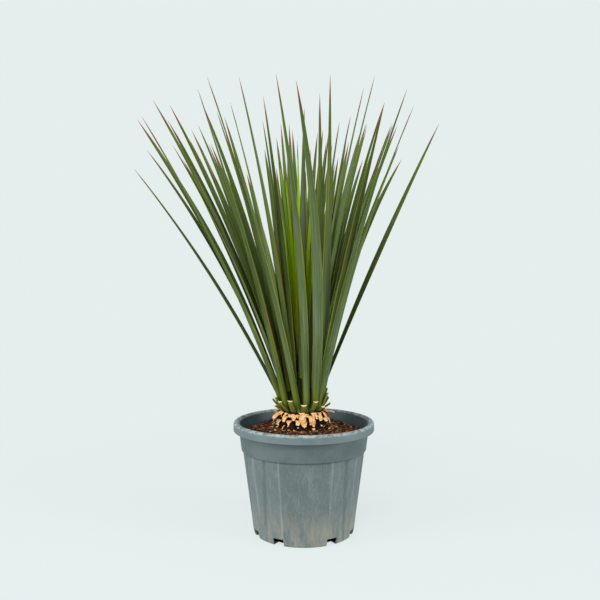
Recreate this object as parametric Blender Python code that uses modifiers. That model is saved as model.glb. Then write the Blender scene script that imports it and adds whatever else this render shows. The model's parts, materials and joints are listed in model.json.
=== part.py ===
"""Potted nolina: a fountain of strap leaves on a short stump, in a moulded nursery pot.

Metres, +Z up. The origin is the middle of the pot's underside, where it stands on the ground.
The reference view looks along +Y, with +X to its right.
"""

import math
import random

import bmesh
import bpy
import numpy as np
from mathutils import Matrix, Vector

COLLECTION_NAME = "potted_nolina"

# Pot
POT_HEIGHT = 0.2070
RIM_RADIUS = 0.1300
RIM_CREST_RADIUS = 0.1235
RIM_BAND = 0.0165
COLLAR_TOP_RADIUS = 0.1212
COLLAR_TOP_HEIGHT = 0.2025
COLLAR_FOOT_RADIUS = 0.1155
COLLAR_FOOT_HEIGHT = 0.1550
BODY_TOP_RADIUS = 0.1127
BODY_TOP_HEIGHT = 0.1530
BODY_FOOT_RADIUS = 0.0927
FOOT_RADIUS = 0.0885
WALL = 0.0030
INNER_STEP_FOOT = 0.1540
INNER_STEP_TOP = 0.1590
RIM_WALL = 0.0026
FLOOR = 0.0030
POT_SEGMENTS = 72
POT_TURN = math.radians(1.5)

# Flutes of the pot's wall: ridges stay flush, creases are pressed in between them
FLUTE_DEPTH = 0.0020
PANEL_SHARE = 0.45
CREASE_HALF_WIDTH = 5.0
RIDGE_ANGLES = (25.0, 55.0, 90.0)
CREASE_ANGLES = (10.0, 40.0, 70.0)
CREASE_SPREAD = 0.17
CENTRE_PANEL_DEPTH = 0.20

# Drain notches at the foot: degrees from the front, mirrored to all four quarters
NOTCH_ANGLES = (30.5, 68.0)
NOTCH_WIDTH = 0.0210
NOTCH_HEIGHT = 0.0134
NOTCH_INNER_RADIUS = 0.0690
NOTCH_OUTER_RADIUS = 0.1050

# Soil
SEAT_GAP = 0.0003
SOIL_EDGE_HEIGHT = 0.1825
SOIL_MOUND = 0.0140
SOIL_MOUND_WIDTH = 0.0450
SOIL_BUMP = 0.0016
SOIL_LEVEL_RING = 0.0150
SOIL_FOOT_RADIUS = 0.0670
SOIL_FOOT_STEP = 0.0150
SOIL_RINGS = 6
SOIL_SEGMENTS = 48

# Stump and its dry leaf bases, which are bent back and hang
PLANT_X = -0.0040
STUMP_RADIUS = 0.0490
STUMP_NECK_RADIUS = 0.0455
STUMP_FOOT = 0.1200
STUMP_SHOULDER = 0.1960
STUMP_NECK = 0.2000
STUMP_TOP = 0.2260
STUMP_SEGMENTS = 40
DRY_BASE_ROOT_RADIUS = 0.0435
DRY_BASE_TIP_SHARE = 0.70
DRY_BASE_THICKNESS = 0.0018
DRY_BASE_SLANT = 0.0020

# Dry bases that the reference view shows: degrees from the front, root height, length and width
# in millimetres, and tilt in degrees from straight up
FRONT_DRY_BASES = (
    (-58, 223.0, 17.0, 17.0, 112), (-38, 221.5, 13.0, 14.0, 135), (-16, 225.0, 12.0, 15.5, 138),
    (2, 223.0, 16.0, 15.5, 158), (22, 223.5, 17.0, 14.5, 160), (42, 223.0, 12.0, 13.0, 140),
    (76, 223.0, 18.0, 13.0, 86),
)

# The other dry bases: an upper row round the back, and a lower row all round. Pairs are the ends
# of the random draws.
BACK_DRY_BASES = 9
BACK_DRY_BASE_FIRST = 100.0
BACK_DRY_BASE_STEP = 20.0
BACK_DRY_BASE_HEIGHTS = (0.2200, 0.2240)
BACK_DRY_BASE_LENGTHS = (0.0130, 0.0180)
BACK_DRY_BASE_TILTS = (112.0, 156.0)
LOW_DRY_BASES = 17
LOW_DRY_BASE_HEIGHTS = (0.2120, 0.2175)
LOW_DRY_BASE_LENGTHS = (0.0105, 0.0135)
LOW_DRY_BASE_TILTS = (122.0, 148.0)
DRY_BASE_WIDTHS = (0.0115, 0.0160)

# Crown: core, green cut stubs and leaves
CORE_PROFILE = (
    (0.0140, 0.3000), (0.0260, 0.2750), (0.0335, 0.2500), (0.0365, 0.2263),
)
CORE_TOP = 0.3000
CORE_SEGMENTS = 28
STUB_ROOT_RADIUS = 0.0365
STUB_ROOT_HEIGHT = 0.2290
STUB_WIDTHS = (0.0150, 0.0112)
STUB_THICKNESS = 0.0026
STUB_SLANT = 0.0008

# Stubs that the reference view shows: degrees from the front, then the tip's radius and height in
# millimetres
FRONT_STUBS = (
    (-110, 50.0, 255.0), (-85, 54.2, 247.7), (-70, 51.9, 253.5), (-60, 57.5, 240.0),
    (-46, 55.0, 248.0), (-23, 54.2, 251.0), (5, 52.0, 243.3), (29, 53.2, 249.1),
    (47, 53.6, 238.5), (72, 50.9, 261.4), (80, 54.3, 240.9), (95, 50.8, 249.7),
    (105, 49.6, 265.0),
)
BACK_STUBS = 8
BACK_STUB_FIRST = 122.0
BACK_STUB_STEP = 16.0
BACK_STUB_TIP_RADII = (0.0495, 0.0545)
BACK_STUB_TIP_HEIGHTS = (0.2410, 0.2630)

LEAF_WIDTH = 0.0178
LEAF_WIDTH_SPREAD = (0.85, 1.08)
YOUNG_LEAF_WIDTH = 0.0110
LEAF_TWIST = math.radians(28.0)
SIDE_LEAF_TWIST = math.radians(95.0)
LEAF_THICKNESS = 0.0017
LEAF_ROOT_THICKNESS = 0.0026
LEAF_CHANNEL = 0.16
LEAF_ROOT_HEIGHT = 0.2450
LEAF_ROOT_REACHES = (0.0080, 0.0345)
LEAF_ROOT_RISES = (0.0120, -0.0165)
LEAF_ROOT_SPREAD = 0.6
OUTER_LEAF_LEAN = math.radians(38.0)
YOUNG_LEAF_ROOT_REACH = 0.0045
YOUNG_LEAF_ROOT_RISE = 0.0610
YOUNG_CORE_PROFILE = (
    (0.0060, 0.0300), (0.0130, 0.0100), (0.0145, 0.0),
)
YOUNG_CORE_HEIGHT = 0.0350
LEAF_ARCH = 0.22
LEAF_SWAY = 0.012
LEAF_STATIONS = (0.0, 0.14, 0.38, 0.62, 0.82, 0.93, 1.0)
GOLDEN_ANGLE = math.radians(137.508)
FRONT = -math.pi / 2.0

# Where the viewer of the reference view stands
EYE = Vector((-0.0070, -1.3816, 0.4920))

# Leaf tips of the outline, in millimetres: across and height as seen in the plant's own plane, and
# the leaf's reach from the growing point. Where they aren't LEAF_ARCH and 1, its arch as a share of
# its lean and its share of SIDE_LEAF_TWIST follow. Far leaves and young ones lean away from the
# viewer.
FAR_TIPS = (
    (-310, 670, 560, 0.14, 0.0), (-287, 705, 560, 0.22, 0.2), (-304, 760, 590), (-275, 795, 592),
    (-245, 787, 576), (-205, 741, 600), (-193, 750, 560), (-183, 784, 600), (-170, 716, 540),
    (-159, 776, 541),
    (-145, 765, 600), (-134, 791, 548), (-118, 837, 585), (-74, 802, 549), (-72, 706, 560),
    (-50, 727, 600), (-21, 741, 600), (1, 780, 526), (12, 706, 560), (25, 736, 580),
    (47, 749, 500), (52, 714, 600), (63, 692, 560), (78, 725, 600), (82, 719, 540),
    (109, 817, 569), (108, 754, 600), (129, 839, 590), (163, 752, 600), (138, 675, 560),
    (179, 688, 560, 0.35), (247, 753, 590, 0.04), (-75, 758, 520), (-42, 752, 520),
    (-27, 752, 525), (35, 741, 520), (65, 756, 520),
)
YOUNG_TIPS = (
    (-54, 652, 412), (-47, 700, 462), (-36, 676, 435), (-24, 690, 450), (-12, 722, 480),
    (4, 664, 422), (20, 672, 430), (33, 650, 410),
)

# The front leaves lean towards the viewer, who sees their feet too. Where each is rooted, in
# degrees from the front, and its sideways bow, in millimetres, come before its tip.
NEAR_LEAVES = (
    (-85, 0, (-296, 766, 590)), (-55, 0, (-193, 815, 586)), (-12, 0, (-176, 837, 597)),
    (12, 12, (-51, 843, 583)), (42, 22, (-14, 830, 592)), (62, 0, (29, 806, 550)),
    (85, 0, (48, 841, 588)), (56, 18, (147, 791, 560)), (70, 0, (188, 815, 590)),
    (80, 0, (200, 784, 566, 0.35)),
)

# Leaves between those of the outline, round the crown but for its front; the right is slimmer
FILL_LEAVES = 30
FILL_FRONT_GAP = math.radians(55.0)
FILL_AZIMUTH_SPREAD = 0.15
FILL_LEANS = (math.radians(13.0), math.radians(29.0))
FILL_REACH = (0.470, 0.560)
RIGHT_SIDE_SLIMMING = 0.28

# Seeds of the random draws
SOIL_SEED = 3
STUMP_SEED = 5
STUB_SEED = 6
CROWN_SEED = 7
HEART_SEED = 9
FILL_SEED = 11


def smooth_step(value):
    """Ease a value from 0 to 1 and hold it outside that range."""
    value = min(max(value, 0.0), 1.0)
    return value * value * (3.0 - 2.0 * value)


def between(ends, share):
    """The value at a share of the way from the first of a pair to the second."""
    return ends[0] + (ends[1] - ends[0]) * share


def new_collection(name, hidden=False):
    """Make a collection in the scene; a hidden one holds cutters or joined pieces."""
    collection = bpy.data.collections.new(name)
    bpy.context.scene.collection.children.link(collection)
    collection.hide_render = hidden
    return collection


def material(name, colour, roughness, metallic=0.0):
    """A Principled material with the part's plain colour."""
    result = bpy.data.materials.new(name)
    result.use_nodes = True
    shader = result.node_tree.nodes["Principled BSDF"]
    shader.inputs["Base Color"].default_value = (*colour, 1.0)
    shader.inputs["Roughness"].default_value = roughness
    shader.inputs["Metallic"].default_value = metallic
    result.diffuse_color = (*colour, 1.0)
    return result


def object_from_mesh(name, mesh, collection):
    """Put a mesh in the scene as an object."""
    result = bpy.data.objects.new(name, mesh)
    collection.objects.link(result)
    return result


def object_from_bmesh(name, bm, collection):
    """Turn a finished bmesh into an object."""
    mesh = bpy.data.meshes.new(name)
    bm.to_mesh(mesh)
    bm.free()
    return object_from_mesh(name, mesh, collection)


def applied(obj):
    """Replace an object's mesh by what its modifiers make of it."""
    graph = bpy.context.evaluated_depsgraph_get()
    mesh = bpy.data.meshes.new_from_object(obj.evaluated_get(graph))
    obj.modifiers.clear()
    obj.data = mesh
    return obj


def turned(name, profile, segments, collection):
    """Spin a profile of (radius, height) about the vertical axis with a Screw modifier."""
    mesh = bpy.data.meshes.new(name)
    points = [(radius, 0.0, height) for radius, height in profile]
    mesh.from_pydata(points, [(i, i + 1) for i in range(len(points) - 1)], [])
    obj = object_from_mesh(name, mesh, collection)
    screw = obj.modifiers.new("turn", "SCREW")
    screw.steps = segments
    screw.render_steps = segments
    screw.use_merge_vertices = True
    screw.merge_threshold = 0.00005
    return applied(obj)


def smooth(obj, angle):
    """Shade an object smooth, with sharp edges past an angle."""
    obj.data.shade_smooth()
    obj.data.set_sharp_from_angle(angle=math.radians(angle))


def keep_outer_shell(obj):
    """Fill the hollows that fusing sealed and drop scraps: only the widest shell stays."""
    bm = bmesh.new()
    bm.from_mesh(obj.data)
    bm.verts.ensure_lookup_table()
    unseen = set(bm.verts)
    shells = []
    while unseen:
        front = [unseen.pop()]
        shell = list(front)
        while front:
            vertex = front.pop()
            for edge in vertex.link_edges:
                other = edge.other_vert(vertex)
                if other in unseen:
                    unseen.remove(other)
                    front.append(other)
                    shell.append(other)
        heights = [vertex.co.z for vertex in shell]
        shells.append((max(heights) - min(heights), shell))
    shells.sort(key=lambda entry: entry[0])
    for _, shell in shells[:-1]:
        bmesh.ops.delete(bm, geom=shell, context="VERTS")
    bm.to_mesh(obj.data)
    bm.free()


def joined(core, pieces, solver="EXACT"):
    """Fuse a collection's closed pieces into a core with one Boolean union."""
    union = core.modifiers.new("join", "BOOLEAN")
    union.operation = "UNION"
    union.operand_type = "COLLECTION"
    union.collection = pieces
    union.solver = solver
    applied(core)
    for piece in list(pieces.objects):
        bpy.data.objects.remove(piece)
    bpy.data.collections.remove(pieces)
    keep_outer_shell(core)
    return core


def loft(bm, rings):
    """Close a skin over rings of four points, pointed or flat at the last ring.

    A ring is left edge, upper middle, right edge, lower middle. Upper and lower faces are split
    from the same edge corner, so that a thin twisted blade never crosses itself.
    """
    rows = [[bm.verts.new(point) for point in ring] for ring in rings]
    root = rows[0]
    bm.faces.new((root[0], root[3], root[1]))
    bm.faces.new((root[1], root[3], root[2]))
    for low, high in zip(rows, rows[1:]):
        if len(high) == 1:
            for i in range(4):
                bm.faces.new((low[i], low[(i + 1) % 4], high[0]))
            continue
        for edge, other, turn in ((0, 1, 1), (0, 3, -1), (2, 1, -1), (2, 3, 1)):
            first = (low[edge], low[other], high[other])
            second = (low[edge], high[other], high[edge])
            for face in (first, second):
                bm.faces.new(face if turn == 1 else tuple(reversed(face)))
    last = rows[-1]
    if len(last) == 4:
        bm.faces.new((last[0], last[1], last[3]))
        bm.faces.new((last[1], last[2], last[3]))


def outer_body_radius(height):
    """Radius of the fluted wall's ridges at a height."""
    share = height / BODY_TOP_HEIGHT
    return BODY_FOOT_RADIUS + (BODY_TOP_RADIUS - BODY_FOOT_RADIUS) * share


def inner_wall_radius(height):
    """Radius of the pot's inner wall at a height, below or above its step."""
    if height < (INNER_STEP_FOOT + INNER_STEP_TOP) / 2.0:
        return outer_body_radius(height) - WALL
    share = (height - COLLAR_FOOT_HEIGHT) / (COLLAR_TOP_HEIGHT - COLLAR_FOOT_HEIGHT)
    return COLLAR_FOOT_RADIUS + (COLLAR_TOP_RADIUS - COLLAR_FOOT_RADIUS) * share - WALL


def flute_recess(angle, height):
    """How far the fluted wall is pressed in at an angle and a height.

    The pattern is the same in each quarter: panels slope from each ridge down to a narrow
    crease, and the creases stand a little wider apart towards the foot.
    """
    spread = 1.0 + CREASE_SPREAD * (1.0 - height / BODY_TOP_HEIGHT)
    creases = [crease * spread for crease in CREASE_ANGLES]
    knots = [0.0]
    depths = [CENTRE_PANEL_DEPTH]
    for crease, ridge in zip(creases, RIDGE_ANGLES):
        knots += [crease, ridge]
        depths += [PANEL_SHARE, 0.0]
    quarter = abs(math.degrees(math.asin(math.sin(angle))))
    nearest = min(abs(quarter - crease) for crease in creases)
    groove = (1.0 - PANEL_SHARE) * max(0.0, 1.0 - nearest / CREASE_HALF_WIDTH)
    fade = smooth_step((height - 0.010) / 0.030)
    return FLUTE_DEPTH * fade * (float(np.interp(quarter, knots, depths)) + groove)


def pot_profile():
    """Section of the pot: inner floor, inner wall, rolled rim, collar, body and foot."""
    lip = POT_HEIGHT - 0.0035
    inside = [
        (0.0, FLOOR),
        (inner_wall_radius(FLOOR) - 0.0030, FLOOR),
        (inner_wall_radius(0.0065), 0.0065),
        (inner_wall_radius(INNER_STEP_FOOT), INNER_STEP_FOOT),
        (inner_wall_radius(INNER_STEP_TOP), INNER_STEP_TOP),
        (inner_wall_radius(lip), lip),
    ]
    band_foot = POT_HEIGHT - RIM_BAND
    rim = [
        (RIM_CREST_RADIUS - 0.0030, POT_HEIGHT - 0.0010),
        (RIM_CREST_RADIUS, POT_HEIGHT),
        (RIM_CREST_RADIUS + 0.0036, POT_HEIGHT - 0.0010),
        (RIM_RADIUS - 0.0008, POT_HEIGHT - 0.0032),
        (RIM_RADIUS, POT_HEIGHT - 0.0062),
        (RIM_RADIUS, band_foot + 0.0008),
        (RIM_RADIUS - 0.0008, band_foot),
        (RIM_RADIUS - RIM_WALL, band_foot),
        (RIM_RADIUS - RIM_WALL, POT_HEIGHT - 0.0062),
        (COLLAR_TOP_RADIUS, COLLAR_TOP_HEIGHT),
    ]
    collar = [(COLLAR_FOOT_RADIUS, COLLAR_FOOT_HEIGHT)]
    body = [(outer_body_radius(z), z) for z in (BODY_TOP_HEIGHT, 0.1490, 0.1100, 0.0700, 0.0320)]
    foot = [
        (outer_body_radius(0.0060), 0.0060),
        (outer_body_radius(0.0) - 0.0012, 0.0018),
        (FOOT_RADIUS, 0.0),
        (0.0, 0.0),
    ]
    return inside + rim + collar + body + foot


def notch_angles():
    """Angles of the drain notches, mirrored to all four quarters of the foot."""
    quarter = [math.radians(angle) for angle in NOTCH_ANGLES]
    half = quarter + [math.pi - angle for angle in quarter]
    return [side * angle + POT_TURN - math.pi / 2.0 for angle in half for side in (1.0, -1.0)]


def notch_cutters(collection):
    """Blocks that cut the drain notches out of the foot."""
    depth = NOTCH_OUTER_RADIUS - NOTCH_INNER_RADIUS
    middle = (NOTCH_OUTER_RADIUS + NOTCH_INNER_RADIUS) / 2.0
    for i, angle in enumerate(notch_angles()):
        bm = bmesh.new()
        size = Matrix.Diagonal((depth, NOTCH_WIDTH, 2.0 * NOTCH_HEIGHT, 1.0))
        bmesh.ops.create_cube(bm, size=1.0, matrix=size)
        cutter = object_from_bmesh(f"notch_cutter_{i + 1}", bm, collection)
        cutter.location = (middle * math.cos(angle), middle * math.sin(angle), 0.0)
        cutter.rotation_euler.z = angle
        cutter.hide_render = True
        cutter.display_type = "WIRE"


def make_pot(collection, cutters):
    """The moulded pot: turned, fluted by formula, then notched."""
    pot = turned("pot", pot_profile(), POT_SEGMENTS, collection)
    for vertex in pot.data.vertices:
        x, y, z = vertex.co
        radius = math.hypot(x, y)
        angle = math.atan2(y, x) + math.pi / 2.0
        on_wall = 0.0 < z < COLLAR_FOOT_HEIGHT and radius > outer_body_radius(z) - 0.0001
        if on_wall:
            pressed = radius - flute_recess(angle, z)
            vertex.co.x = x * pressed / radius
            vertex.co.y = y * pressed / radius
    pot.data.transform(Matrix.Rotation(POT_TURN, 4, "Z"))
    notch_cutters(cutters)
    cut = pot.modifiers.new("notches", "BOOLEAN")
    cut.operation = "DIFFERENCE"
    cut.operand_type = "COLLECTION"
    cut.collection = cutters
    smooth(pot, 40.0)
    pot.data.materials.append(material("pot_plastic", (0.17, 0.22, 0.23), 0.55))
    return pot


def soil_height(radius):
    """Height of the soil's surface: level at the wall, mounded towards the stump."""
    edge = inner_wall_radius(SOIL_EDGE_HEIGHT)
    return SOIL_EDGE_HEIGHT + SOIL_MOUND * smooth_step((edge - radius) / SOIL_MOUND_WIDTH)


def make_soil(collection):
    """The soil: fills the pot, leaves the drain notches free, and has a plain hole."""
    hole = STUMP_RADIUS + SEAT_GAP
    edge = inner_wall_radius(SOIL_EDGE_HEIGHT) - SEAT_GAP
    profile = [(0.0, STUMP_FOOT - SEAT_GAP), (hole, STUMP_FOOT - SEAT_GAP)]
    for i in range(SOIL_RINGS + 1):
        radius = between((hole, edge), i / SOIL_RINGS)
        profile.append((radius, soil_height(radius)))
    profile += [
        (inner_wall_radius(INNER_STEP_TOP) - SEAT_GAP, INNER_STEP_TOP),
        (inner_wall_radius(INNER_STEP_FOOT) - SEAT_GAP, INNER_STEP_FOOT),
        (inner_wall_radius(SOIL_FOOT_STEP) - SEAT_GAP, SOIL_FOOT_STEP),
        (SOIL_FOOT_RADIUS, SOIL_FOOT_STEP),
        (SOIL_FOOT_RADIUS, FLOOR + SEAT_GAP),
        (0.0, FLOOR + SEAT_GAP),
    ]
    soil = turned("soil", profile, SOIL_SEGMENTS, collection)
    rng = random.Random(SOIL_SEED)
    for vertex in soil.data.vertices:
        radius = math.hypot(vertex.co.x, vertex.co.y)
        on_surface = vertex.co.z > SOIL_EDGE_HEIGHT - 0.0001
        # The hole is round the plant's own axis, a little off the pot's.
        if on_surface or radius < hole + SEAT_GAP:
            vertex.co.x += PLANT_X * smooth_step((edge - radius) / (edge - hole))
        if on_surface and radius > hole + SOIL_LEVEL_RING:
            vertex.co.z += rng.uniform(-SOIL_BUMP, SOIL_BUMP)
    smooth(soil, 50.0)
    soil.data.materials.append(material("soil", (0.075, 0.028, 0.014), 0.95))
    return soil


def radial(azimuth, outward, up):
    """A direction or point given round the plant's axis."""
    return Vector((math.cos(azimuth) * outward, math.sin(azimuth) * outward, up))


def cut_strip(name, azimuth, root, tip, widths, thickness, slant, collection):
    """A short flat strip, cut off square or slanting at its tip; root and tip are (radius, z)."""
    start = radial(azimuth, root[0], root[1])
    end = radial(azimuth, tip[0], tip[1])
    along = (end - start).normalized()
    side = Vector((-math.sin(azimuth), math.cos(azimuth), 0.0))
    face = side.cross(along)
    rings = []
    for point, width, cut in ((start, widths[0], 0.0), (end, widths[1], slant)):
        half = side * (width / 2.0)
        lean = along * cut
        curve = face * (width * LEAF_CHANNEL / 2.0)
        rings.append([
            point - half - curve - lean,
            point + face * (thickness / 2.0),
            point + half - curve + lean,
            point - face * (thickness / 2.0) - curve * 0.5,
        ])
    bm = bmesh.new()
    loft(bm, rings)
    bmesh.ops.recalc_face_normals(bm, faces=bm.faces)
    strip = object_from_bmesh(name, bm, collection)
    strip.location.x = PLANT_X
    return strip


def dry_bases():
    """Each dry base as azimuth, root height, length, width and tilt."""
    for azimuth, height, length, width, tilt in FRONT_DRY_BASES:
        yield (FRONT + math.radians(azimuth), height / 1000.0, length / 1000.0, width / 1000.0,
               math.radians(tilt))
    rng = random.Random(STUMP_SEED)
    for i in range(BACK_DRY_BASES):
        azimuth = FRONT + math.radians(BACK_DRY_BASE_FIRST + i * BACK_DRY_BASE_STEP)
        yield (azimuth, rng.uniform(*BACK_DRY_BASE_HEIGHTS), rng.uniform(*BACK_DRY_BASE_LENGTHS),
               rng.uniform(*DRY_BASE_WIDTHS), math.radians(rng.uniform(*BACK_DRY_BASE_TILTS)))
    for i in range(LOW_DRY_BASES):
        yield (i * GOLDEN_ANGLE, rng.uniform(*LOW_DRY_BASE_HEIGHTS),
               rng.uniform(*LOW_DRY_BASE_LENGTHS), rng.uniform(*DRY_BASE_WIDTHS),
               math.radians(rng.uniform(*LOW_DRY_BASE_TILTS)))


def make_stump(collection):
    """The short trunk in the soil, with its dry, cut leaf bases."""
    profile = [
        (0.0, STUMP_TOP),
        (STUMP_NECK_RADIUS, STUMP_TOP),
        (STUMP_NECK_RADIUS, STUMP_NECK),
        (STUMP_RADIUS, STUMP_SHOULDER),
        (STUMP_RADIUS, STUMP_FOOT),
        (0.0, STUMP_FOOT),
    ]
    stump = turned("stump", profile, STUMP_SEGMENTS, collection)
    stump.location.x = PLANT_X
    pieces = new_collection("dry_bases", hidden=True)
    for i, (azimuth, height, length, width, tilt) in enumerate(dry_bases()):
        root = (DRY_BASE_ROOT_RADIUS, height)
        tip = (root[0] + length * math.sin(tilt), height + length * math.cos(tilt))
        slant = DRY_BASE_SLANT * math.sin(i * GOLDEN_ANGLE)
        cut_strip(f"dry_base_{i + 1}", azimuth, root, tip,
                  (width, width * DRY_BASE_TIP_SHARE), DRY_BASE_THICKNESS, slant, pieces)
    joined(stump, pieces)
    smooth(stump, 30.0)
    stump.data.materials.append(material("dry_leaf_base", (0.62, 0.37, 0.18), 0.8))
    return stump


def sight_tip(across, height, reach, far):
    """Leaf tip that lies `reach` from the growing point and shows at (across, height)."""
    heart = Vector((PLANT_X, 0.0, LEAF_ROOT_HEIGHT))
    sight = Vector((across, 0.0, height)) - EYE
    from_heart = EYE - heart
    a = sight.dot(sight)
    b = 2.0 * sight.dot(from_heart)
    c = from_heart.dot(from_heart) - reach * reach
    root = math.sqrt(max(b * b - 4.0 * a * c, 0.0))
    step = (-b + (root if far else -root)) / (2.0 * a)
    return from_heart + sight * step


def outline_leaf(far, across, height, reach, arch=LEAF_ARCH, turned_share=1.0):
    """Tip, from the growing point, arch and share of twist of a leaf that the outline shows."""
    tip = sight_tip(across / 1000.0, height / 1000.0, reach / 1000.0, far)
    return tip, arch, turned_share


def lean_of(tip):
    """How far a leaf leans from the vertical, measured to its tip."""
    return math.acos(tip.z / tip.length)


def crown_root(tip):
    """Where a crown leaf is rooted: outer leaves further out and lower."""
    share = min(lean_of(tip) / OUTER_LEAF_LEAN, 1.0)
    reach = between(LEAF_ROOT_REACHES, share ** LEAF_ROOT_SPREAD)
    return radial(math.atan2(tip.y, tip.x), reach, between(LEAF_ROOT_RISES, share))


def fill_tips():
    """Tips of the leaves in between: by golden steps round the crown, but not at its front."""
    rng = random.Random(FILL_SEED)
    for i in range(FILL_LEAVES):
        turn = i * GOLDEN_ANGLE / math.tau % 1.0
        azimuth = FRONT + between((FILL_FRONT_GAP, math.tau - FILL_FRONT_GAP), turn)
        azimuth += rng.uniform(-FILL_AZIMUTH_SPREAD, FILL_AZIMUTH_SPREAD)
        lean = between(FILL_LEANS, math.sqrt((i + 0.5) / FILL_LEAVES))
        lean *= 1.0 - RIGHT_SIDE_SLIMMING * max(math.cos(azimuth), 0.0)
        reach = rng.uniform(*FILL_REACH)
        yield radial(azimuth, reach * math.sin(lean), reach * math.cos(lean))


def crown_leaf_places():
    """Root, tip, arch, share of twist and sideways bow of each leaf of the crown."""
    for degrees, bow, place in NEAR_LEAVES:
        azimuth = FRONT + math.radians(degrees)
        root = radial(azimuth, LEAF_ROOT_REACHES[1], LEAF_ROOT_RISES[1])
        yield root, *outline_leaf(False, *place), bow / 1000.0
    for place in FAR_TIPS:
        leaf = outline_leaf(True, *place)
        yield crown_root(leaf[0]), *leaf, 0.0
    for tip in fill_tips():
        yield crown_root(tip), tip, LEAF_ARCH, 1.0, 0.0


def young_leaf_places():
    """The same of each young leaf, rooted close round the axis in the heart's core."""
    for place in YOUNG_TIPS:
        leaf = outline_leaf(True, *place)
        azimuth = math.atan2(leaf[0].y, leaf[0].x)
        yield radial(azimuth, YOUNG_LEAF_ROOT_REACH, YOUNG_LEAF_ROOT_RISE), *leaf, 0.0


def width_share(along):
    """Blade width along a leaf, as a share of its widest, from root to tip."""
    places = (0.0, 0.15, 0.35, 0.50, 0.67, 0.80, 0.90, 0.95, 1.0)
    shares = (0.90, 0.90, 1.00, 0.95, 0.71, 0.47, 0.32, 0.20, 0.0)
    return float(np.interp(along, places, shares))


def leaf_midline(root, tip, arch_share, sway):
    """Three control points of a leaf's midline, which starts upright and arches outward."""
    azimuth = math.atan2(tip.y, tip.x)
    arch = math.radians(1.0) + arch_share * lean_of(tip)
    chord = tip - root
    chord_lean = math.atan2(math.hypot(chord.x, chord.y), chord.z)
    half = 0.5 * chord.length / math.cos(arch)
    middle = root + radial(azimuth, half * math.sin(chord_lean - arch),
                           half * math.cos(chord_lean - arch))
    side = Vector((-math.sin(azimuth), math.cos(azimuth), 0.0))
    return root, middle + side * sway, tip


def bezier(points, along):
    """Point and direction on a quadratic curve."""
    first, middle, last = points
    back = 1.0 - along
    place = first * back * back + middle * (2.0 * back * along) + last * along * along
    direction = (middle - first) * back + (last - middle) * along
    return place, direction.normalized()


def leaf_blade(name, leaf, widest, rng, collection):
    """One strap leaf: a channelled blade, keeled below, drawn out to a fine point.

    A leaf that leans to the left or right turns its channel to the front as it goes up.
    """
    root, tip, arch_share, turned_share, bow = leaf
    heart = Vector((PLANT_X, 0.0, LEAF_ROOT_HEIGHT))
    share = min(lean_of(tip) / OUTER_LEAF_LEAN, 1.0)
    sway = rng.uniform(-LEAF_SWAY, LEAF_SWAY) * share + bow
    points = leaf_midline(root, tip, arch_share, sway)
    width = widest * rng.uniform(*LEAF_WIDTH_SPREAD)
    azimuth = math.atan2(tip.y, tip.x)
    to_front = SIDE_LEAF_TWIST * turned_share * share * math.cos(azimuth)
    twist = rng.uniform(-LEAF_TWIST, LEAF_TWIST) + to_front
    flat = Vector((-math.sin(azimuth), math.cos(azimuth), 0.0))
    rings = []
    for along in LEAF_STATIONS[:-1]:
        place, direction = bezier(points, along)
        turn = Matrix.Rotation(twist * along, 3, direction)
        side = turn @ (flat - direction * flat.dot(direction)).normalized()
        inward = direction.cross(side)
        half = width * width_share(along) / 2.0
        thick = LEAF_THICKNESS + (LEAF_ROOT_THICKNESS - LEAF_THICKNESS) * (1.0 - along) ** 3
        rise = inward * (half * 2.0 * LEAF_CHANNEL)
        body = inward * (min(thick, half) / 2.0)
        place = place + heart
        rings.append([place - side * half + rise, place + body,
                      place + side * half + rise, place - body])
    rings.append([bezier(points, 1.0)[0] + heart])
    bm = bmesh.new()
    loft(bm, rings)
    bmesh.ops.recalc_face_normals(bm, faces=bm.faces)
    return object_from_bmesh(name, bm, collection)


def stubs():
    """Each green stub as azimuth, tip radius and tip height."""
    for azimuth, radius, height in FRONT_STUBS:
        yield FRONT + math.radians(azimuth), radius / 1000.0, height / 1000.0
    rng = random.Random(STUB_SEED)
    for i in range(BACK_STUBS):
        azimuth = FRONT + math.radians(BACK_STUB_FIRST + i * BACK_STUB_STEP)
        yield azimuth, rng.uniform(*BACK_STUB_TIP_RADII), rng.uniform(*BACK_STUB_TIP_HEIGHTS)


def make_crown(collection):
    """The green leaves and the leaves cut short round them, fused to the growing core."""
    foot = CORE_PROFILE[-1][1]
    profile = [(0.0, CORE_TOP), *CORE_PROFILE, (0.0, foot)]
    crown = turned("leaf_crown", profile, CORE_SEGMENTS, collection)
    crown.location.x = PLANT_X
    pieces = new_collection("crown_pieces", hidden=True)
    for i, (azimuth, radius, height) in enumerate(stubs()):
        slant = STUB_SLANT * math.sin(i * GOLDEN_ANGLE)
        cut_strip(f"stub_{i + 1}", azimuth, (STUB_ROOT_RADIUS, STUB_ROOT_HEIGHT),
                  (radius, height), STUB_WIDTHS, STUB_THICKNESS, slant, pieces)
    rng = random.Random(CROWN_SEED)
    for i, leaf in enumerate(crown_leaf_places()):
        leaf_blade(f"leaf_{i + 1}", leaf, LEAF_WIDTH, rng, pieces)
    joined(crown, pieces)
    smooth(crown, 60.0)
    crown.data.materials.append(material("green_leaf", (0.10, 0.17, 0.07), 0.5))
    return crown


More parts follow.
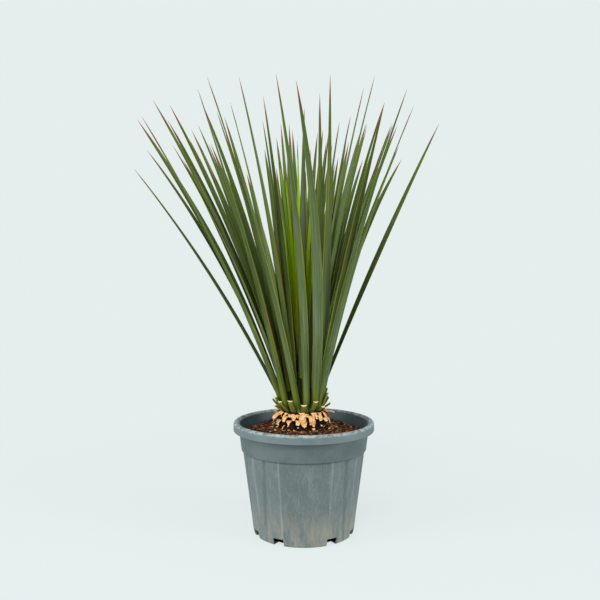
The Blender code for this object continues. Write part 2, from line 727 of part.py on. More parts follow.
def make_heart(collection):
    """The young leaves in the middle, on their own narrow core above the crown's."""
    base = CORE_TOP + SEAT_GAP
    sides = [(radius, base + height) for radius, height in YOUNG_CORE_PROFILE]
    profile = [(0.0, base + YOUNG_CORE_HEIGHT), *sides, (0.0, base)]
    heart = turned("heart_leaves", profile, CORE_SEGMENTS // 2, collection)
    heart.location.x = PLANT_X
    pieces = new_collection("heart_pieces", hidden=True)
    rng = random.Random(HEART_SEED)
    for i, leaf in enumerate(young_leaf_places()):
        leaf_blade(f"heart_leaf_{i + 1}", leaf, YOUNG_LEAF_WIDTH, rng, pieces)
    joined(heart, pieces)
    smooth(heart, 60.0)
    heart.data.materials.append(material("young_leaf", (0.25, 0.38, 0.02), 0.5))
    return heart


def main():
    """Build the potted nolina in an empty scene."""
    for obj in list(bpy.data.objects):
        bpy.data.objects.remove(obj)
    parts = new_collection(COLLECTION_NAME)
    cutters = new_collection("cutters", hidden=True)
    make_pot(parts, cutters)
    make_soil(parts)
    make_stump(parts)
    make_crown(parts)
    make_heart(parts)


main()
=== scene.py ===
# %% [markdown]
# # A potted nolina
#
# The plant is a fountain of narrow strap leaves on a short stump, in a moulded nursery pot. The
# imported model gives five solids: pot, soil, stump, leaf crown and heart leaves. They have the right
# sizes and stand in the right places, but with few faces. Each is replaced here by finer pieces that
# keep its form. Nearly all of the plant is strips of one kind: leaves, cut stubs and dry leaf bases.
# So one Geometry Nodes tree sweeps them all, and the work goes into where each strip runs and into
# how its surface is coloured.

# %% Load the frame
import json
import math
import random
from collections import namedtuple

import bpy
import numpy as np
from mathutils import Matrix, Vector

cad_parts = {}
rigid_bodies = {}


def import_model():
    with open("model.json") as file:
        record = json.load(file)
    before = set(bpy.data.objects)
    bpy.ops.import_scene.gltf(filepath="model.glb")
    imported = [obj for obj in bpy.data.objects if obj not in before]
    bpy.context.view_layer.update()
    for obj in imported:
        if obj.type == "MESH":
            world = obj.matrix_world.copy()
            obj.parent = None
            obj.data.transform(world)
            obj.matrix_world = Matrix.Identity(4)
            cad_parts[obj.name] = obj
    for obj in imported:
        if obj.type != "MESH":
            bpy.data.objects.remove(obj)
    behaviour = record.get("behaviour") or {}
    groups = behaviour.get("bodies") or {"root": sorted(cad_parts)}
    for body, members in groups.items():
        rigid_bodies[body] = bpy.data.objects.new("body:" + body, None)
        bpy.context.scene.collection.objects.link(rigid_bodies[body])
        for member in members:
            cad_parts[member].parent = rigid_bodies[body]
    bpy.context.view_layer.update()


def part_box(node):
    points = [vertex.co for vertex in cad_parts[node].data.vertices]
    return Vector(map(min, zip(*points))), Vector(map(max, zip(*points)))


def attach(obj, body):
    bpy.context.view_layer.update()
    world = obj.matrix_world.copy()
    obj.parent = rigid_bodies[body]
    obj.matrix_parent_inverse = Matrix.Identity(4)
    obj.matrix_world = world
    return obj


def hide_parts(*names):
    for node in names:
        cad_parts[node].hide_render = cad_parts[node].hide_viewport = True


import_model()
POT_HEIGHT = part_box("pot")[1].z
STUMP_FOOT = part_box("stump")[0].z
CROWN_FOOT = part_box("leaf_crown")[0].z

# %% [markdown]
# ## The camera
#
# The photograph was taken from a little above the middle of the leaves. The pot gives the camera
# away: the rim is a flat ellipse, the foot a rounder one, and their heights and widths fit only one
# distance and one tilt. A lens of 45 mm on a 36 mm sensor stands for the picture's angle of view.

# %% Camera
EYE = Vector((-0.0070, -1.3816, 0.4920))
LENS_MM = 45.0
SENSOR_MM = 36.0
LOOK_DOWN = 0.0445


def make_camera():
    """The camera of the reference view."""
    data = bpy.data.cameras.new("camera")
    data.lens = LENS_MM
    data.sensor_width = SENSOR_MM
    camera = bpy.data.objects.new("camera", data)
    camera.location = EYE
    camera.rotation_euler = (math.pi / 2.0 - LOOK_DOWN, 0.0, 0.0)
    bpy.context.scene.collection.objects.link(camera)
    bpy.context.scene.camera = camera
    return camera


print("camera at", list(make_camera().location))

# %% [markdown]
# ## A short way to write node trees
#
# Materials and Geometry Nodes are both trees of nodes. A small class wraps a tree and has a word for
# each node that is used often. An input is a plain value, or the output of another node, so a tree
# reads nearly like a formula.

# %% Node helpers


class NodeTree:
    """A node tree with short words for the nodes that are used most."""

    def __init__(self, tree):
        self.tree = tree

    def add(self, kind, inputs=None, output=0, **settings):
        """Add a node, set or link its inputs, and give back one of its outputs."""
        node = self.tree.nodes.new(kind)
        for name, value in settings.items():
            setattr(node, name, value)
        for key, value in (inputs or {}).items():
            if isinstance(value, bpy.types.NodeSocket):
                self.tree.links.new(value, node.inputs[key])
            else:
                node.inputs[key].default_value = value
        return node.outputs[output] if len(node.outputs) else node

    def maths(self, operation, a, b=0.0):
        """One operation on numbers."""
        return self.add("ShaderNodeMath", {0: a, 1: b}, operation=operation)

    def times(self, product, *factors):
        """Numbers multiplied together."""
        for factor in factors:
            product = self.maths("MULTIPLY", product, factor)
        return product

    def line(self, value, slope, start):
        """A number times a slope, plus a start."""
        return self.add("ShaderNodeMath", {0: value, 1: slope, 2: start}, operation="MULTIPLY_ADD")

    def ease(self, value, low, high, to_low=0.0, to_high=1.0):
        """Ease a number from one range into another, held at the ends."""
        inputs = {0: value, 1: low, 2: high, 3: to_low, 4: to_high}
        return self.add("ShaderNodeMapRange", inputs, interpolation_type="SMOOTHSTEP")

    def vector(self, x, y, z):
        """Three numbers as a vector."""
        return self.add("ShaderNodeCombineXYZ", {0: x, 1: y, 2: z})

    def vectors(self, operation, a, b=(0.0, 0.0, 0.0)):
        """One operation on vectors."""
        output = 1 if operation == "LENGTH" else 0
        return self.add("ShaderNodeVectorMath", {0: a, 1: b}, output, operation=operation)

    def scaled(self, direction, length):
        """A direction made as long as a number says."""
        return self.add("ShaderNodeVectorMath", {0: direction, "Scale": length}, operation="SCALE")

    def parts(self, vector):
        """The three numbers of a vector."""
        node = self.tree.nodes.new("ShaderNodeSeparateXYZ")
        self.tree.links.new(vector, node.inputs[0])
        return node.outputs


# %% [markdown]
# ## Skins painted in coats
#
# A material's tree ends in one shader. Most skins here are painted as one would by hand: a ground
# colour first, then further coats over it. A coat is a colour and its shares, which say where it
# lies. They are multiplied, so a plain number among them is the strength of the coat.

# %% Skin helpers


def rgb(colour):
    """A screen colour of 0 to 255 as the linear colour that the renderer works in."""
    shares = [channel / 255.0 for channel in colour]
    linear = [s / 12.92 if s <= 0.04045 else ((s + 0.055) / 1.055) ** 2.4 for s in shares]
    return (*linear, 1.0)


class Skin(NodeTree):
    """The node tree of a new material."""

    def __init__(self, name, roughness=0.6, specular=0.4):
        self.material = bpy.data.materials.new(name)
        self.material.use_nodes = True
        super().__init__(self.material.node_tree)
        self.shader = self.tree.nodes["Principled BSDF"]
        self.shader.inputs["Roughness"].default_value = roughness
        self.shader.inputs["Specular IOR Level"].default_value = specular

    def coordinates(self, upright=1.0):
        """The place on a piece; a pattern on it is drawn out upright where the share is small."""
        place = self.add("ShaderNodeTexCoord", output=3)
        return self.add("ShaderNodeMapping", {0: place, 3: (1.0, 1.0, upright)})

    def attribute(self, name):
        """A number stored on the mesh."""
        return self.add("ShaderNodeAttribute", output=2, attribute_name=name)

    def noise(self, place, scale, detail=3.0, roughness=0.55):
        """Soft noise from 0 to 1 at a place."""
        inputs = {"Vector": place, "Scale": scale, "Detail": detail, "Roughness": roughness}
        return self.add("ShaderNodeTexNoise", inputs)

    def ramp(self, value, stops):
        """Colours along a number from 0 to 1."""
        node = self.tree.nodes.new("ShaderNodeValToRGB")
        while len(node.color_ramp.elements) < len(stops):
            node.color_ramp.elements.new(0.5)
        for element, (place, colour) in zip(node.color_ramp.elements, stops):
            element.position = place
            element.color = rgb(colour)
        self.tree.links.new(value, node.inputs[0])
        return node.outputs[0]

    def blend(self, share, first, second):
        """Mix two linear colours."""
        inputs = {0: share, 6: first, 7: second}
        return self.add("ShaderNodeMix", inputs, output=2, data_type="RGBA")

    def coated(self, colour, *coats):
        """Lay coats over a colour in turn, each a screen colour and its shares."""
        for other, *shares in coats:
            colour = self.blend(self.times(*shares), colour, rgb(other))
        return colour

    def finish(self, colour, height, depth, roughness=None):
        """Plug in the colour and a bump of a real depth in metres; the material comes back."""
        bump = self.add("ShaderNodeBump", {"Strength": 1.0, "Distance": depth, "Height": height})
        self.tree.links.new(colour, self.shader.inputs["Base Color"])
        self.tree.links.new(bump, self.shader.inputs["Normal"])
        if roughness is not None:
            self.tree.links.new(roughness, self.shader.inputs["Roughness"])
        return self.material


# %% [markdown]
# ## Pieces and what they stand for
#
# Every finished piece is a plain mesh at the origin. It rides on the plant's one body and stands in
# place of a solid of the model, which it hides.

# %% Piece helpers
made = []


def mesh_object(name, points, edges=(), faces=()):
    """Put a new mesh in the scene."""
    mesh = bpy.data.meshes.new(name)
    mesh.from_pydata(points, edges, faces)
    obj = bpy.data.objects.new(name, mesh)
    bpy.context.scene.collection.objects.link(obj)
    return obj


def store(obj, name, values, kind="FLOAT"):
    """Keep a value for each point of a mesh as a named attribute."""
    data = obj.data.attributes.new(name, kind, "POINT").data
    key = "vector" if kind == "FLOAT_VECTOR" else "value"
    data.foreach_set(key, np.asarray(values, dtype=np.float32).ravel())


def bake_modifiers(obj):
    """Turn what an object's modifiers make into its own plain mesh."""
    graph = bpy.context.evaluated_depsgraph_get()
    mesh = bpy.data.meshes.new_from_object(obj.evaluated_get(graph))
    obj.modifiers.clear()
    obj.data = mesh
    return obj


def finish_piece(obj, node, material=None):
    """Let a piece ride on the plant in place of a solid, which it hides, and give it a material if
    one is given.
    """
    if material:
        obj.data.materials.append(material)
    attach(obj, "root")
    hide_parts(node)
    obj.data.calc_loop_triangles()
    made.append(obj)
    print(f"{obj.name}: {len(obj.data.loop_triangles)} triangles, for {node}")


# %% [markdown]
# ## The rule that places the leaves
#
# All leaves grow from one point on the stump. A leaf is named by where its tip shows in the
# reference view and by how far it reaches from the growing point: those two give its place in depth,
# in front of the axis or behind it. Leaves that the view doesn't single out follow the golden
# angle, as real leaves do round a stem. The tables and the order of the random draws are the
# model's own, so each fine blade lies where its solid is.

# %% Growing point and leaf tips
PLANT_X = -0.0040
FRONT = -math.pi / 2.0
LEAF_ROOT_HEIGHT = 0.2450
HEART = Vector((PLANT_X, 0.0, LEAF_ROOT_HEIGHT))
GOLDEN_ANGLE = math.radians(137.508)
LEAF_WIDTH = 0.0178
YOUNG_LEAF_WIDTH = 0.0110
LEAF_WIDTH_SPREAD = (0.85, 1.08)
LEAF_TWIST = math.radians(28.0)
SIDE_LEAF_TWIST = math.radians(95.0)
LEAF_THICKNESS = 0.0013
LEAF_ROOT_THICKNESS = 0.0026
LEAF_TIP_HALF_WIDTH = 0.00022
LEAF_ARCH = 0.22
LEAF_SWAY = 0.012
LEAF_ROOT_REACHES = (0.0080, 0.0345)
LEAF_ROOT_RISES = (0.0120, -0.0165)
LEAF_ROOT_SPREAD = 0.6
OUTER_LEAF_LEAN = math.radians(38.0)
YOUNG_LEAF_ROOT_REACH = 0.0045
YOUNG_LEAF_ROOT_RISE = 0.0610
CORE_TOP = 0.3000

# Tips in millimetres: across, height, reach and, where they aren't the usual ones, the share of arch
# and the share of the twist to the front
FAR_TIPS = (
    (-310, 670, 560, 0.14, 0.0), (-287, 705, 560, 0.22, 0.2), (-304, 760, 590), (-275, 795, 592),
    (-245, 787, 576), (-205, 741, 600), (-193, 750, 560), (-183, 784, 600), (-170, 716, 540),
    (-159, 776, 541),
    (-145, 765, 600), (-134, 791, 548), (-118, 837, 585), (-74, 802, 549), (-72, 706, 560),
    (-50, 727, 600), (-21, 741, 600), (1, 780, 526), (12, 706, 560), (25, 736, 580),
    (47, 749, 500), (52, 714, 600), (63, 692, 560), (78, 725, 600), (82, 719, 540),
    (109, 817, 569), (108, 754, 600), (129, 839, 590), (163, 752, 600), (138, 675, 560),
    (179, 688, 560, 0.35), (247, 753, 590, 0.04), (-75, 758, 520), (-42, 752, 520),
    (-27, 752, 525), (35, 741, 520), (65, 756, 520),
)
YOUNG_TIPS = (
    (-54, 652, 412), (-47, 700, 462), (-36, 676, 435), (-24, 690, 450), (-12, 722, 480),
    (4, 664, 422), (20, 672, 430), (33, 650, 410),
)

# The front leaves, whose feet show too: where each is rooted, in degrees from the front, and its
# sideways bow come first
NEAR_LEAVES = (
    (-85, 0, (-296, 766, 590)), (-55, 0, (-193, 815, 586)), (-12, 0, (-176, 837, 597)),
    (12, 12, (-51, 843, 583)), (42, 22, (-14, 830, 592)), (62, 0, (29, 806, 550)),
    (85, 0, (48, 841, 588)), (56, 18, (147, 791, 560)), (70, 0, (188, 815, 590)),
    (80, 0, (200, 784, 566, 0.35)),
)
FILL_LEAVES = 30
FILL_FRONT_GAP = math.radians(55.0)
FILL_AZIMUTH_SPREAD = 0.15
FILL_LEANS = (math.radians(13.0), math.radians(29.0))
FILL_REACH = (0.470, 0.560)
RIGHT_SIDE_SLIMMING = 0.28
STUMP_SEED = 5
STUB_SEED = 6
CROWN_SEED = 7
HEART_SEED = 9
FILL_SEED = 11
FINISH_SEED = 21
SCRAP_SEED = 31


def between(ends, share):
    """The value at a share of the way from the first of a pair to the second."""
    return ends[0] + (ends[1] - ends[0]) * share


def radial(azimuth, outward, up):
    """A direction or point given round the plant's axis."""
    return Vector((math.cos(azimuth) * outward, math.sin(azimuth) * outward, up))


def sight_tip(across, height, reach, far):
    """Leaf tip that lies `reach` from the growing point and shows at (across, height)."""
    sight = Vector((across, 0.0, height)) - EYE
    from_heart = EYE - HEART
    a = sight.dot(sight)
    b = 2.0 * sight.dot(from_heart)
    c = from_heart.dot(from_heart) - reach * reach
    root = math.sqrt(max(b * b - 4.0 * a * c, 0.0))
    step = (-b + (root if far else -root)) / (2.0 * a)
    return from_heart + sight * step


def outline_leaf(far, across, height, reach, arch=LEAF_ARCH, turned_share=1.0):
    """Tip, arch and share of twist of a leaf that the outline shows."""
    tip = sight_tip(across / 1000.0, height / 1000.0, reach / 1000.0, far)
    return tip, arch, turned_share


def lean_of(tip):
    """How far a leaf leans from the vertical, measured to its tip."""
    return math.acos(tip.z / tip.length)


def crown_root(tip):
    """Where a crown leaf is rooted: outer leaves further out and lower."""
    share = min(lean_of(tip) / OUTER_LEAF_LEAN, 1.0)
    reach = between(LEAF_ROOT_REACHES, share ** LEAF_ROOT_SPREAD)
    return radial(math.atan2(tip.y, tip.x), reach, between(LEAF_ROOT_RISES, share))


def fill_tips():
    """Tips of the leaves in between: by golden steps round the crown, but not at its front."""
    rng = random.Random(FILL_SEED)
    for i in range(FILL_LEAVES):
        turn = i * GOLDEN_ANGLE / math.tau % 1.0
        azimuth = FRONT + between((FILL_FRONT_GAP, math.tau - FILL_FRONT_GAP), turn)
        azimuth += rng.uniform(-FILL_AZIMUTH_SPREAD, FILL_AZIMUTH_SPREAD)
        lean = between(FILL_LEANS, math.sqrt((i + 0.5) / FILL_LEAVES))
        lean *= 1.0 - RIGHT_SIDE_SLIMMING * max(math.cos(azimuth), 0.0)
        reach = rng.uniform(*FILL_REACH)
        yield radial(azimuth, reach * math.sin(lean), reach * math.cos(lean))


def crown_leaf_places():
    """Root, tip, arch, share of twist and sideways bow of each leaf of the crown."""
    for degrees, bow, place in NEAR_LEAVES:
        azimuth = FRONT + math.radians(degrees)
        root = radial(azimuth, LEAF_ROOT_REACHES[1], LEAF_ROOT_RISES[1])
        yield root, *outline_leaf(False, *place), bow / 1000.0
    for place in FAR_TIPS:
        leaf = outline_leaf(True, *place)
        yield crown_root(leaf[0]), *leaf, 0.0
    for tip in fill_tips():
        yield crown_root(tip), tip, LEAF_ARCH, 1.0, 0.0


def young_leaf_places():
    """The same of each young leaf, rooted close round the axis above the crown's core."""
    for place in YOUNG_TIPS:
        leaf = outline_leaf(True, *place)
        azimuth = math.atan2(leaf[0].y, leaf[0].x)
        yield radial(azimuth, YOUNG_LEAF_ROOT_REACH, YOUNG_LEAF_ROOT_RISE), *leaf, 0.0


crown_leaves = list(crown_leaf_places())
young_leaves = list(young_leaf_places())
print(len(crown_leaves), "crown leaves and", len(young_leaves), "young leaves")

# %% [markdown]
# ## The midline of a leaf
#
# A leaf starts nearly upright, arches outward and ends in a long fine point. A quadratic curve with
# three points has just that shape. The blade is widest at a third of its length, and the solid's
# width is followed with its corners rounded off.

# %% Leaf curves
LEAF_STATIONS = 34
LEAST_ARCH = math.radians(1.0)
WIDTH_PLACES = (0.0, 0.15, 0.35, 0.50, 0.67, 0.80, 0.90, 0.95, 1.0)
WIDTH_SHARES = (0.90, 0.90, 1.00, 0.95, 0.71, 0.47, 0.32, 0.20, 0.0)
WIDTH_ROUNDING = 0.045
TIP_SHARPNESS = 8.0

Station = namedtuple("Station", "place side inward half_width half_thick along tint")


def width_share(along):
    """Blade width along a leaf, as a share of its widest, rounded less close to the tip."""
    rounding = WIDTH_ROUNDING * min(1.0, (1.0 - along) * TIP_SHARPNESS)
    samples = along + np.linspace(-rounding, rounding, 5)
    return float(np.mean(np.interp(samples, WIDTH_PLACES, WIDTH_SHARES)))


def leaf_midline(root, tip, arch_share, sway):
    """Three control points of a leaf's midline."""
    azimuth = math.atan2(tip.y, tip.x)
    arch = LEAST_ARCH + arch_share * lean_of(tip)
    chord = tip - root
    chord_lean = math.atan2(math.hypot(chord.x, chord.y), chord.z)
    half = 0.5 * chord.length / math.cos(arch)
    middle = root + radial(azimuth, half * math.sin(chord_lean - arch),
                           half * math.cos(chord_lean - arch))
    side = Vector((-math.sin(azimuth), math.cos(azimuth), 0.0))
    return root, middle + side * sway, tip


def bezier(points, along):
    """Point and direction on a quadratic curve."""
    first, middle, last = points
    back = 1.0 - along
    place = first * back * back + middle * (2.0 * back * along) + last * along * along
    direction = (middle - first) * back + (last - middle) * along
    return place, direction.normalized()


def leaf_strip(leaf, widest, rng, tint):
    """The stations of one leaf."""
    root, tip, arch_share, turned_share, bow = leaf
    share = min(lean_of(tip) / OUTER_LEAF_LEAN, 1.0)
    sway = rng.uniform(-LEAF_SWAY, LEAF_SWAY) * share + bow
    points = leaf_midline(root, tip, arch_share, sway)
    width = widest * rng.uniform(*LEAF_WIDTH_SPREAD)
    azimuth = math.atan2(tip.y, tip.x)
    to_front = SIDE_LEAF_TWIST * turned_share * share * math.cos(azimuth)
    twist = rng.uniform(-LEAF_TWIST, LEAF_TWIST) + to_front
    flat = Vector((-math.sin(azimuth), math.cos(azimuth), 0.0))
    stations = []
    for i in range(LEAF_STATIONS):
        along = i / (LEAF_STATIONS - 1)
        place, direction = bezier(points, along)
        turn = Matrix.Rotation(twist * along, 3, direction)
        side = turn @ (flat - direction * flat.dot(direction)).normalized()
        half = max(width * width_share(along) / 2.0, LEAF_TIP_HALF_WIDTH)
        thick = between((LEAF_THICKNESS, LEAF_ROOT_THICKNESS), (1.0 - along) ** 3)
        stations.append(Station(place + HEART, side, direction.cross(side), half,
                                min(thick, half) / 2.0, along, tint))
    return stations


print("a leaf has", LEAF_STATIONS, "stations")

# %% [markdown]
# ## One tree for every strip
#
# A strip could be built face by face. A Geometry Nodes tree does it for all strips at once and
# keeps the sizes adjustable. The mesh that goes in has only midlines: a chain of points for each
# strip, and each point knows its sideways and inward directions, its half width and its half
# thickness. The tree sweeps a circle along each chain. It then moves every point of the skin to its
# true place: sideways by its share of the width, inward by the channel's rise and its share of the
# thickness. Those shares stay on the mesh, so the material can paint along and across the blade.

# %% The strip tree
RING_RADIUS = 0.001
CHANNEL_CURVE = 1.6
KEEL_CURVE = 6.0


class GeometryTree(NodeTree):
    """A Geometry Nodes tree with named inputs and their usual values, None for a material."""

    def __init__(self, name, sockets):
        super().__init__(bpy.data.node_groups.new(name, "GeometryNodeTree"))
        face = self.tree.interface
        kinds = {float: "NodeSocketFloat", int: "NodeSocketInt", type(None): "NodeSocketMaterial"}
        face.new_socket("Geometry", in_out="INPUT", socket_type="NodeSocketGeometry")
        for word, value in sockets.items():
            socket = face.new_socket(word, in_out="INPUT", socket_type=kinds[type(value)])
            if value is not None:
                socket.default_value = value
        face.new_socket("Geometry", in_out="OUTPUT", socket_type="NodeSocketGeometry")
        self.given = self.tree.nodes.new("NodeGroupInput").outputs

    def named(self, name, kind="FLOAT"):
        """An attribute of the geometry as a field."""
        return self.add("GeometryNodeInputNamedAttribute", {"Name": name}, data_type=kind)

    def keep(self, geometry, name, value, kind="FLOAT", domain="POINT"):
        """Store a field on the geometry under a name."""
        inputs = {"Geometry": geometry, "Name": name, "Value": value}
        return self.add("GeometryNodeStoreNamedAttribute", inputs, data_type=kind, domain=domain)

    def moved(self, geometry, **way):
        """The geometry with its points at a new Position, or moved by an Offset."""
        return self.add("GeometryNodeSetPosition", {"Geometry": geometry, **way})

    def wander(self, scale, detail, length):
        """Soft noise to all sides, as long as a number says."""
        wave = self.add("ShaderNodeTexNoise", {"Scale": scale, "Detail": detail}, output=1)
        return self.scaled(self.vectors("SUBTRACT", wave, (0.5, 0.5, 0.5)), length)

    def skinned(self, geometry, smooth):
        """Shade the geometry, realize its instances and give it the skin."""
        geometry = self.add("GeometryNodeSetShadeSmooth", {"Geometry": geometry, 2: smooth})
        geometry = self.add("GeometryNodeRealizeInstances", {"Geometry": geometry})
        return self.add("GeometryNodeSetMaterial",
                        {"Geometry": geometry, "Material": self.given["Skin"]})

    def run(self, obj, **values):
        """Run the tree on an object, with its inputs by name, and keep the plain mesh."""
        modifier = obj.modifiers.new(self.tree.name, "NODES")
        modifier.node_group = self.tree
        for item in self.tree.interface.items_tree:
            word = item.name.replace(" ", "_")
            if item.in_out == "INPUT" and word in values:
                modifier[item.identifier] = values[word]
        return bake_modifiers(obj)


def strip_tree():
    """Sweep a channelled strip along each midline."""
    tree = GeometryTree("strips", {"Points round": 22, "Channel": 0.32, "Keel": 0.0,
                                   "Roughness of shape": 0.0, "Skin": None, "Cut end": None})
    given = tree.given
    position = tree.add("GeometryNodeInputPosition")
    lines = tree.keep(given["Geometry"], "centre", position, "FLOAT_VECTOR")
    lines = tree.add("GeometryNodeMeshToCurve", {"Mesh": lines})
    ring = tree.add("GeometryNodeCurvePrimitiveCircle",
                    {"Resolution": given["Points round"], "Radius": RING_RADIUS})
    spot = tree.parts(tree.scaled(position, 1.0 / RING_RADIUS))
    ring = tree.keep(ring, "across", spot[0])
    ring = tree.keep(ring, "face", spot[1])
    skin = tree.add("GeometryNodeCurveToMesh",
                    {"Curve": lines, "Profile Curve": ring, "Fill Caps": True})
    across, face, half_width, half_thick = (
        tree.named(word) for word in ("across", "face", "half_width", "half_thick"))
    side, inward, centre = (
        tree.named(word, "FLOAT_VECTOR") for word in ("side", "inward", "centre"))
    to_side = tree.maths("ABSOLUTE", across)
    rise = tree.times(tree.maths("POWER", to_side, CHANNEL_CURVE), given["Channel"], half_width)
    spine = tree.maths("POWER", tree.maths("SUBTRACT", 1.0, to_side), KEEL_CURVE)
    keel = tree.times(tree.maths("MINIMUM", face, 0.0), spine, given["Keel"])
    body = tree.times(tree.maths("ADD", face, keel), half_thick)
    place = tree.vectors("ADD", centre, tree.scaled(side, tree.times(across, half_width)))
    place = tree.vectors("ADD", place, tree.scaled(inward, tree.maths("ADD", rise, body)))
    skin = tree.moved(skin, Position=place)
    skin = tree.moved(skin, Offset=tree.wander(170.0, 2.0, given["Roughness of shape"]))
    skin = tree.skinned(skin, True)
    corners = tree.add("GeometryNodeInputMeshFaceNeighbors")
    is_end = tree.add("FunctionNodeCompare", {2: corners, 3: 4}, data_type="INT",
                      operation="GREATER_THAN")
    skin = tree.add("GeometryNodeSetMaterial",
                    {"Geometry": skin, "Selection": is_end, "Material": given["Cut end"]})
    tree.add("NodeGroupOutput", {0: skin})
    return tree


STRIPS = strip_tree()


def sweep(name, strips, **values):
    """Make one mesh of strips from their stations."""
    edges = []
    start = 0
    for strip in strips:
        edges += [(i, i + 1) for i in range(start, start + len(strip) - 1)]
        start += len(strip)
    places, *columns = zip(*(station for strip in strips for station in strip))
    obj = mesh_object(name, places, edges)
    for word, column in zip(Station._fields[1:], columns):
        store(obj, word, column, "FLOAT_VECTOR" if word in ("side", "inward") else "FLOAT")
    return STRIPS.run(obj, **values)


print("the strip tree has", len(STRIPS.tree.nodes), "nodes")

# %% [markdown]
# ## The skin of a leaf
#
# A nolina leaf is olive green, with a grey-blue bloom that is thick on some leaves and thin on
# others, and is rubbed off at the margins. It is striped lengthwise, with fine ribs, and its thin
# margins are paler or rusty. Low down, where the leaves crowd, its sides are darkened with painted
# shade, and one half of each blade is painted darker as the shade across its channel. The tip dries
# out: first olive, then brown, then a pale tan. Noise stretched along the blade paints the stripes.
# It reads the shares along and across, so they follow each leaf however it bends. Each leaf's own
# tint decides how much bloom it has, how dark it is and how dark its painted shade halves are.

# %% Leaf materials
TIP_COLOURS = (
    (0.0, (74, 82, 24)), (0.25, (92, 74, 26)), (0.50, (106, 70, 38)), (0.80, (118, 82, 60)),
    (1.0, (150, 118, 102)),
)
MARGIN_RUST = (124, 70, 30)
# Painted shade: the near-black where the feet of leaves and stubs crowd
PAINTED_CLEFT_SHADE = (18, 24, 6)


def leaf_material(name, olive, green, bloom, dark, foot, margin, blooming):
    """Striped leaf skin with a fresh foot and a dry tip."""
    skin = Skin(name, specular=0.18)
    across, along, tint = (skin.attribute(word) for word in ("across", "along", "tint"))
    shift = skin.times(tint, 61.0)
    to_side = skin.maths("ABSOLUTE", across)

    def stripes(widths, lengths, detail=2.0):
        place = skin.vector(skin.line(across, widths, shift), skin.times(along, lengths), shift)
        return skin.noise(place, 1.0, detail)

    def own(row):
        return skin.ease(skin.noise(skin.vector(shift, row, 1.0), 0.9, 0.0), 0.34, 0.60)

    middle = skin.ease(stripes(6.0, 4.0), 0.38, 0.62)
    fine = stripes(24.0, 9.0)
    low = skin.ease(along, 0.95, 0.55, 0.30, 1.0)
    rubbed = skin.times(skin.line(middle, 0.4, 0.6),
                        skin.ease(stripes(1.8, 5.0), 0.34, 0.58, 0.35, 1.0),
                        skin.ease(to_side, 0.95, 0.35, 0.35, 1.0))
    painted_shade_half = skin.ease(across, -0.12, 0.12)
    edge = skin.ease(to_side, 0.82, 0.97)
    patch = skin.noise(skin.vector(shift, along, 9.0), 2.2, 1.0)
    broad = skin.ease(stripes(1.3, 1.6), 0.42, 0.58)
    colour = skin.coated(
        skin.blend(broad, rgb(olive), rgb(green)),
        (dark, middle, 0.22),
        (bloom, low, rubbed, skin.line(own(3.0), 0.65, 0.35), blooming),
        (dark, own(17.0), 0.26),
        # Painted shade: one half of the blade darker than the other, as shade across its channel
        (dark, painted_shade_half, own(29.0), 0.34),
        (dark, skin.maths("SUBTRACT", 1.0, painted_shade_half), own(41.0), 0.34),
        (dark, skin.ease(fine, 0.48, 0.64), 0.45),
        (margin, skin.ease(stripes(13.0, 5.0), 0.56, 0.70), 0.45),
        (dark, skin.ease(to_side, 0.16, 0.0), 0.25),
        (margin, edge, skin.line(own(53.0), 0.7, 0.3), 0.40),
        (MARGIN_RUST, edge, skin.ease(patch, 0.56, 0.66), 0.8),
        (foot, skin.ease(along, 0.14, 0.02), 0.60),
        # Painted shade: the sides of each leaf darkened low down, where the leaves crowd
        (PAINTED_CLEFT_SHADE, skin.ease(along, 0.24, 0.04), skin.ease(to_side, 0.42, 0.92), 0.65),
    )
    wandering = skin.maths("ADD", along, skin.line(stripes(3.0, 6.0), 0.08, -0.04))
    dry_start = skin.line(tint, 0.05, 0.885)
    dry = skin.add("ShaderNodeMapRange", {0: wandering, 1: dry_start, 2: 1.0, 3: 0.0, 4: 1.0})
    colour = skin.blend(skin.ease(dry, 0.02, 0.30), colour, skin.ramp(dry, TIP_COLOURS))
    height = skin.maths("ADD", fine, skin.times(stripes(60.0, 14.0, 1.0), 0.5))
    return skin.finish(colour, height, 0.00016, skin.line(middle, 0.14, 0.44))


LEAF_SKIN = leaf_material("green_leaf", olive=(98, 108, 10), green=(72, 101, 14),
                          bloom=(104, 122, 108), dark=(38, 54, 10), foot=(106, 118, 22),
                          margin=(154, 160, 76), blooming=0.80)
YOUNG_SKIN = leaf_material("young_leaf", olive=(168, 196, 10), green=(140, 180, 8),
                           bloom=(160, 190, 40), dark=(92, 128, 6), foot=(120, 150, 10),
                           margin=(190, 212, 40), blooming=0.4)
print("leaf skins:", LEAF_SKIN.name, YOUNG_SKIN.name)

# %% [markdown]
# ## The leaves
#
# The crown's leaves are swept in one go, in the solid's own order, so that its random draws for
# sway, width and twist come out the same. Round their feet stand the stubs of leaves that were cut
# off green. The reference view shows thirteen of them, and a rule places the ones behind.

# %% Cut stubs
STUB_ROOT = (0.0365, 0.2290)
STUB_WIDTHS = (0.0150, 0.0112)
STUB_THICKNESS = 0.0026
STUB_BOW = 0.0008
STUB_STATIONS = 9
STUB_UNEVENNESS = 0.06

# Degrees from the front, then the tip's radius and height in millimetres
FRONT_STUBS = (
    (-110, 50.0, 255.0), (-85, 54.2, 247.7), (-70, 51.9, 253.5), (-60, 57.5, 240.0),
    (-46, 55.0, 248.0), (-23, 54.2, 251.0), (5, 52.0, 243.3), (29, 53.2, 249.1),
    (47, 53.6, 238.5), (72, 50.9, 261.4), (80, 54.3, 240.9), (95, 50.8, 249.7),
    (105, 49.6, 265.0),
)
BACK_STUBS = 8
BACK_STUB_FIRST = 122.0
BACK_STUB_STEP = 16.0
BACK_STUB_TIP_RADII = (0.0495, 0.0545)
BACK_STUB_TIP_HEIGHTS = (0.2410, 0.2630)


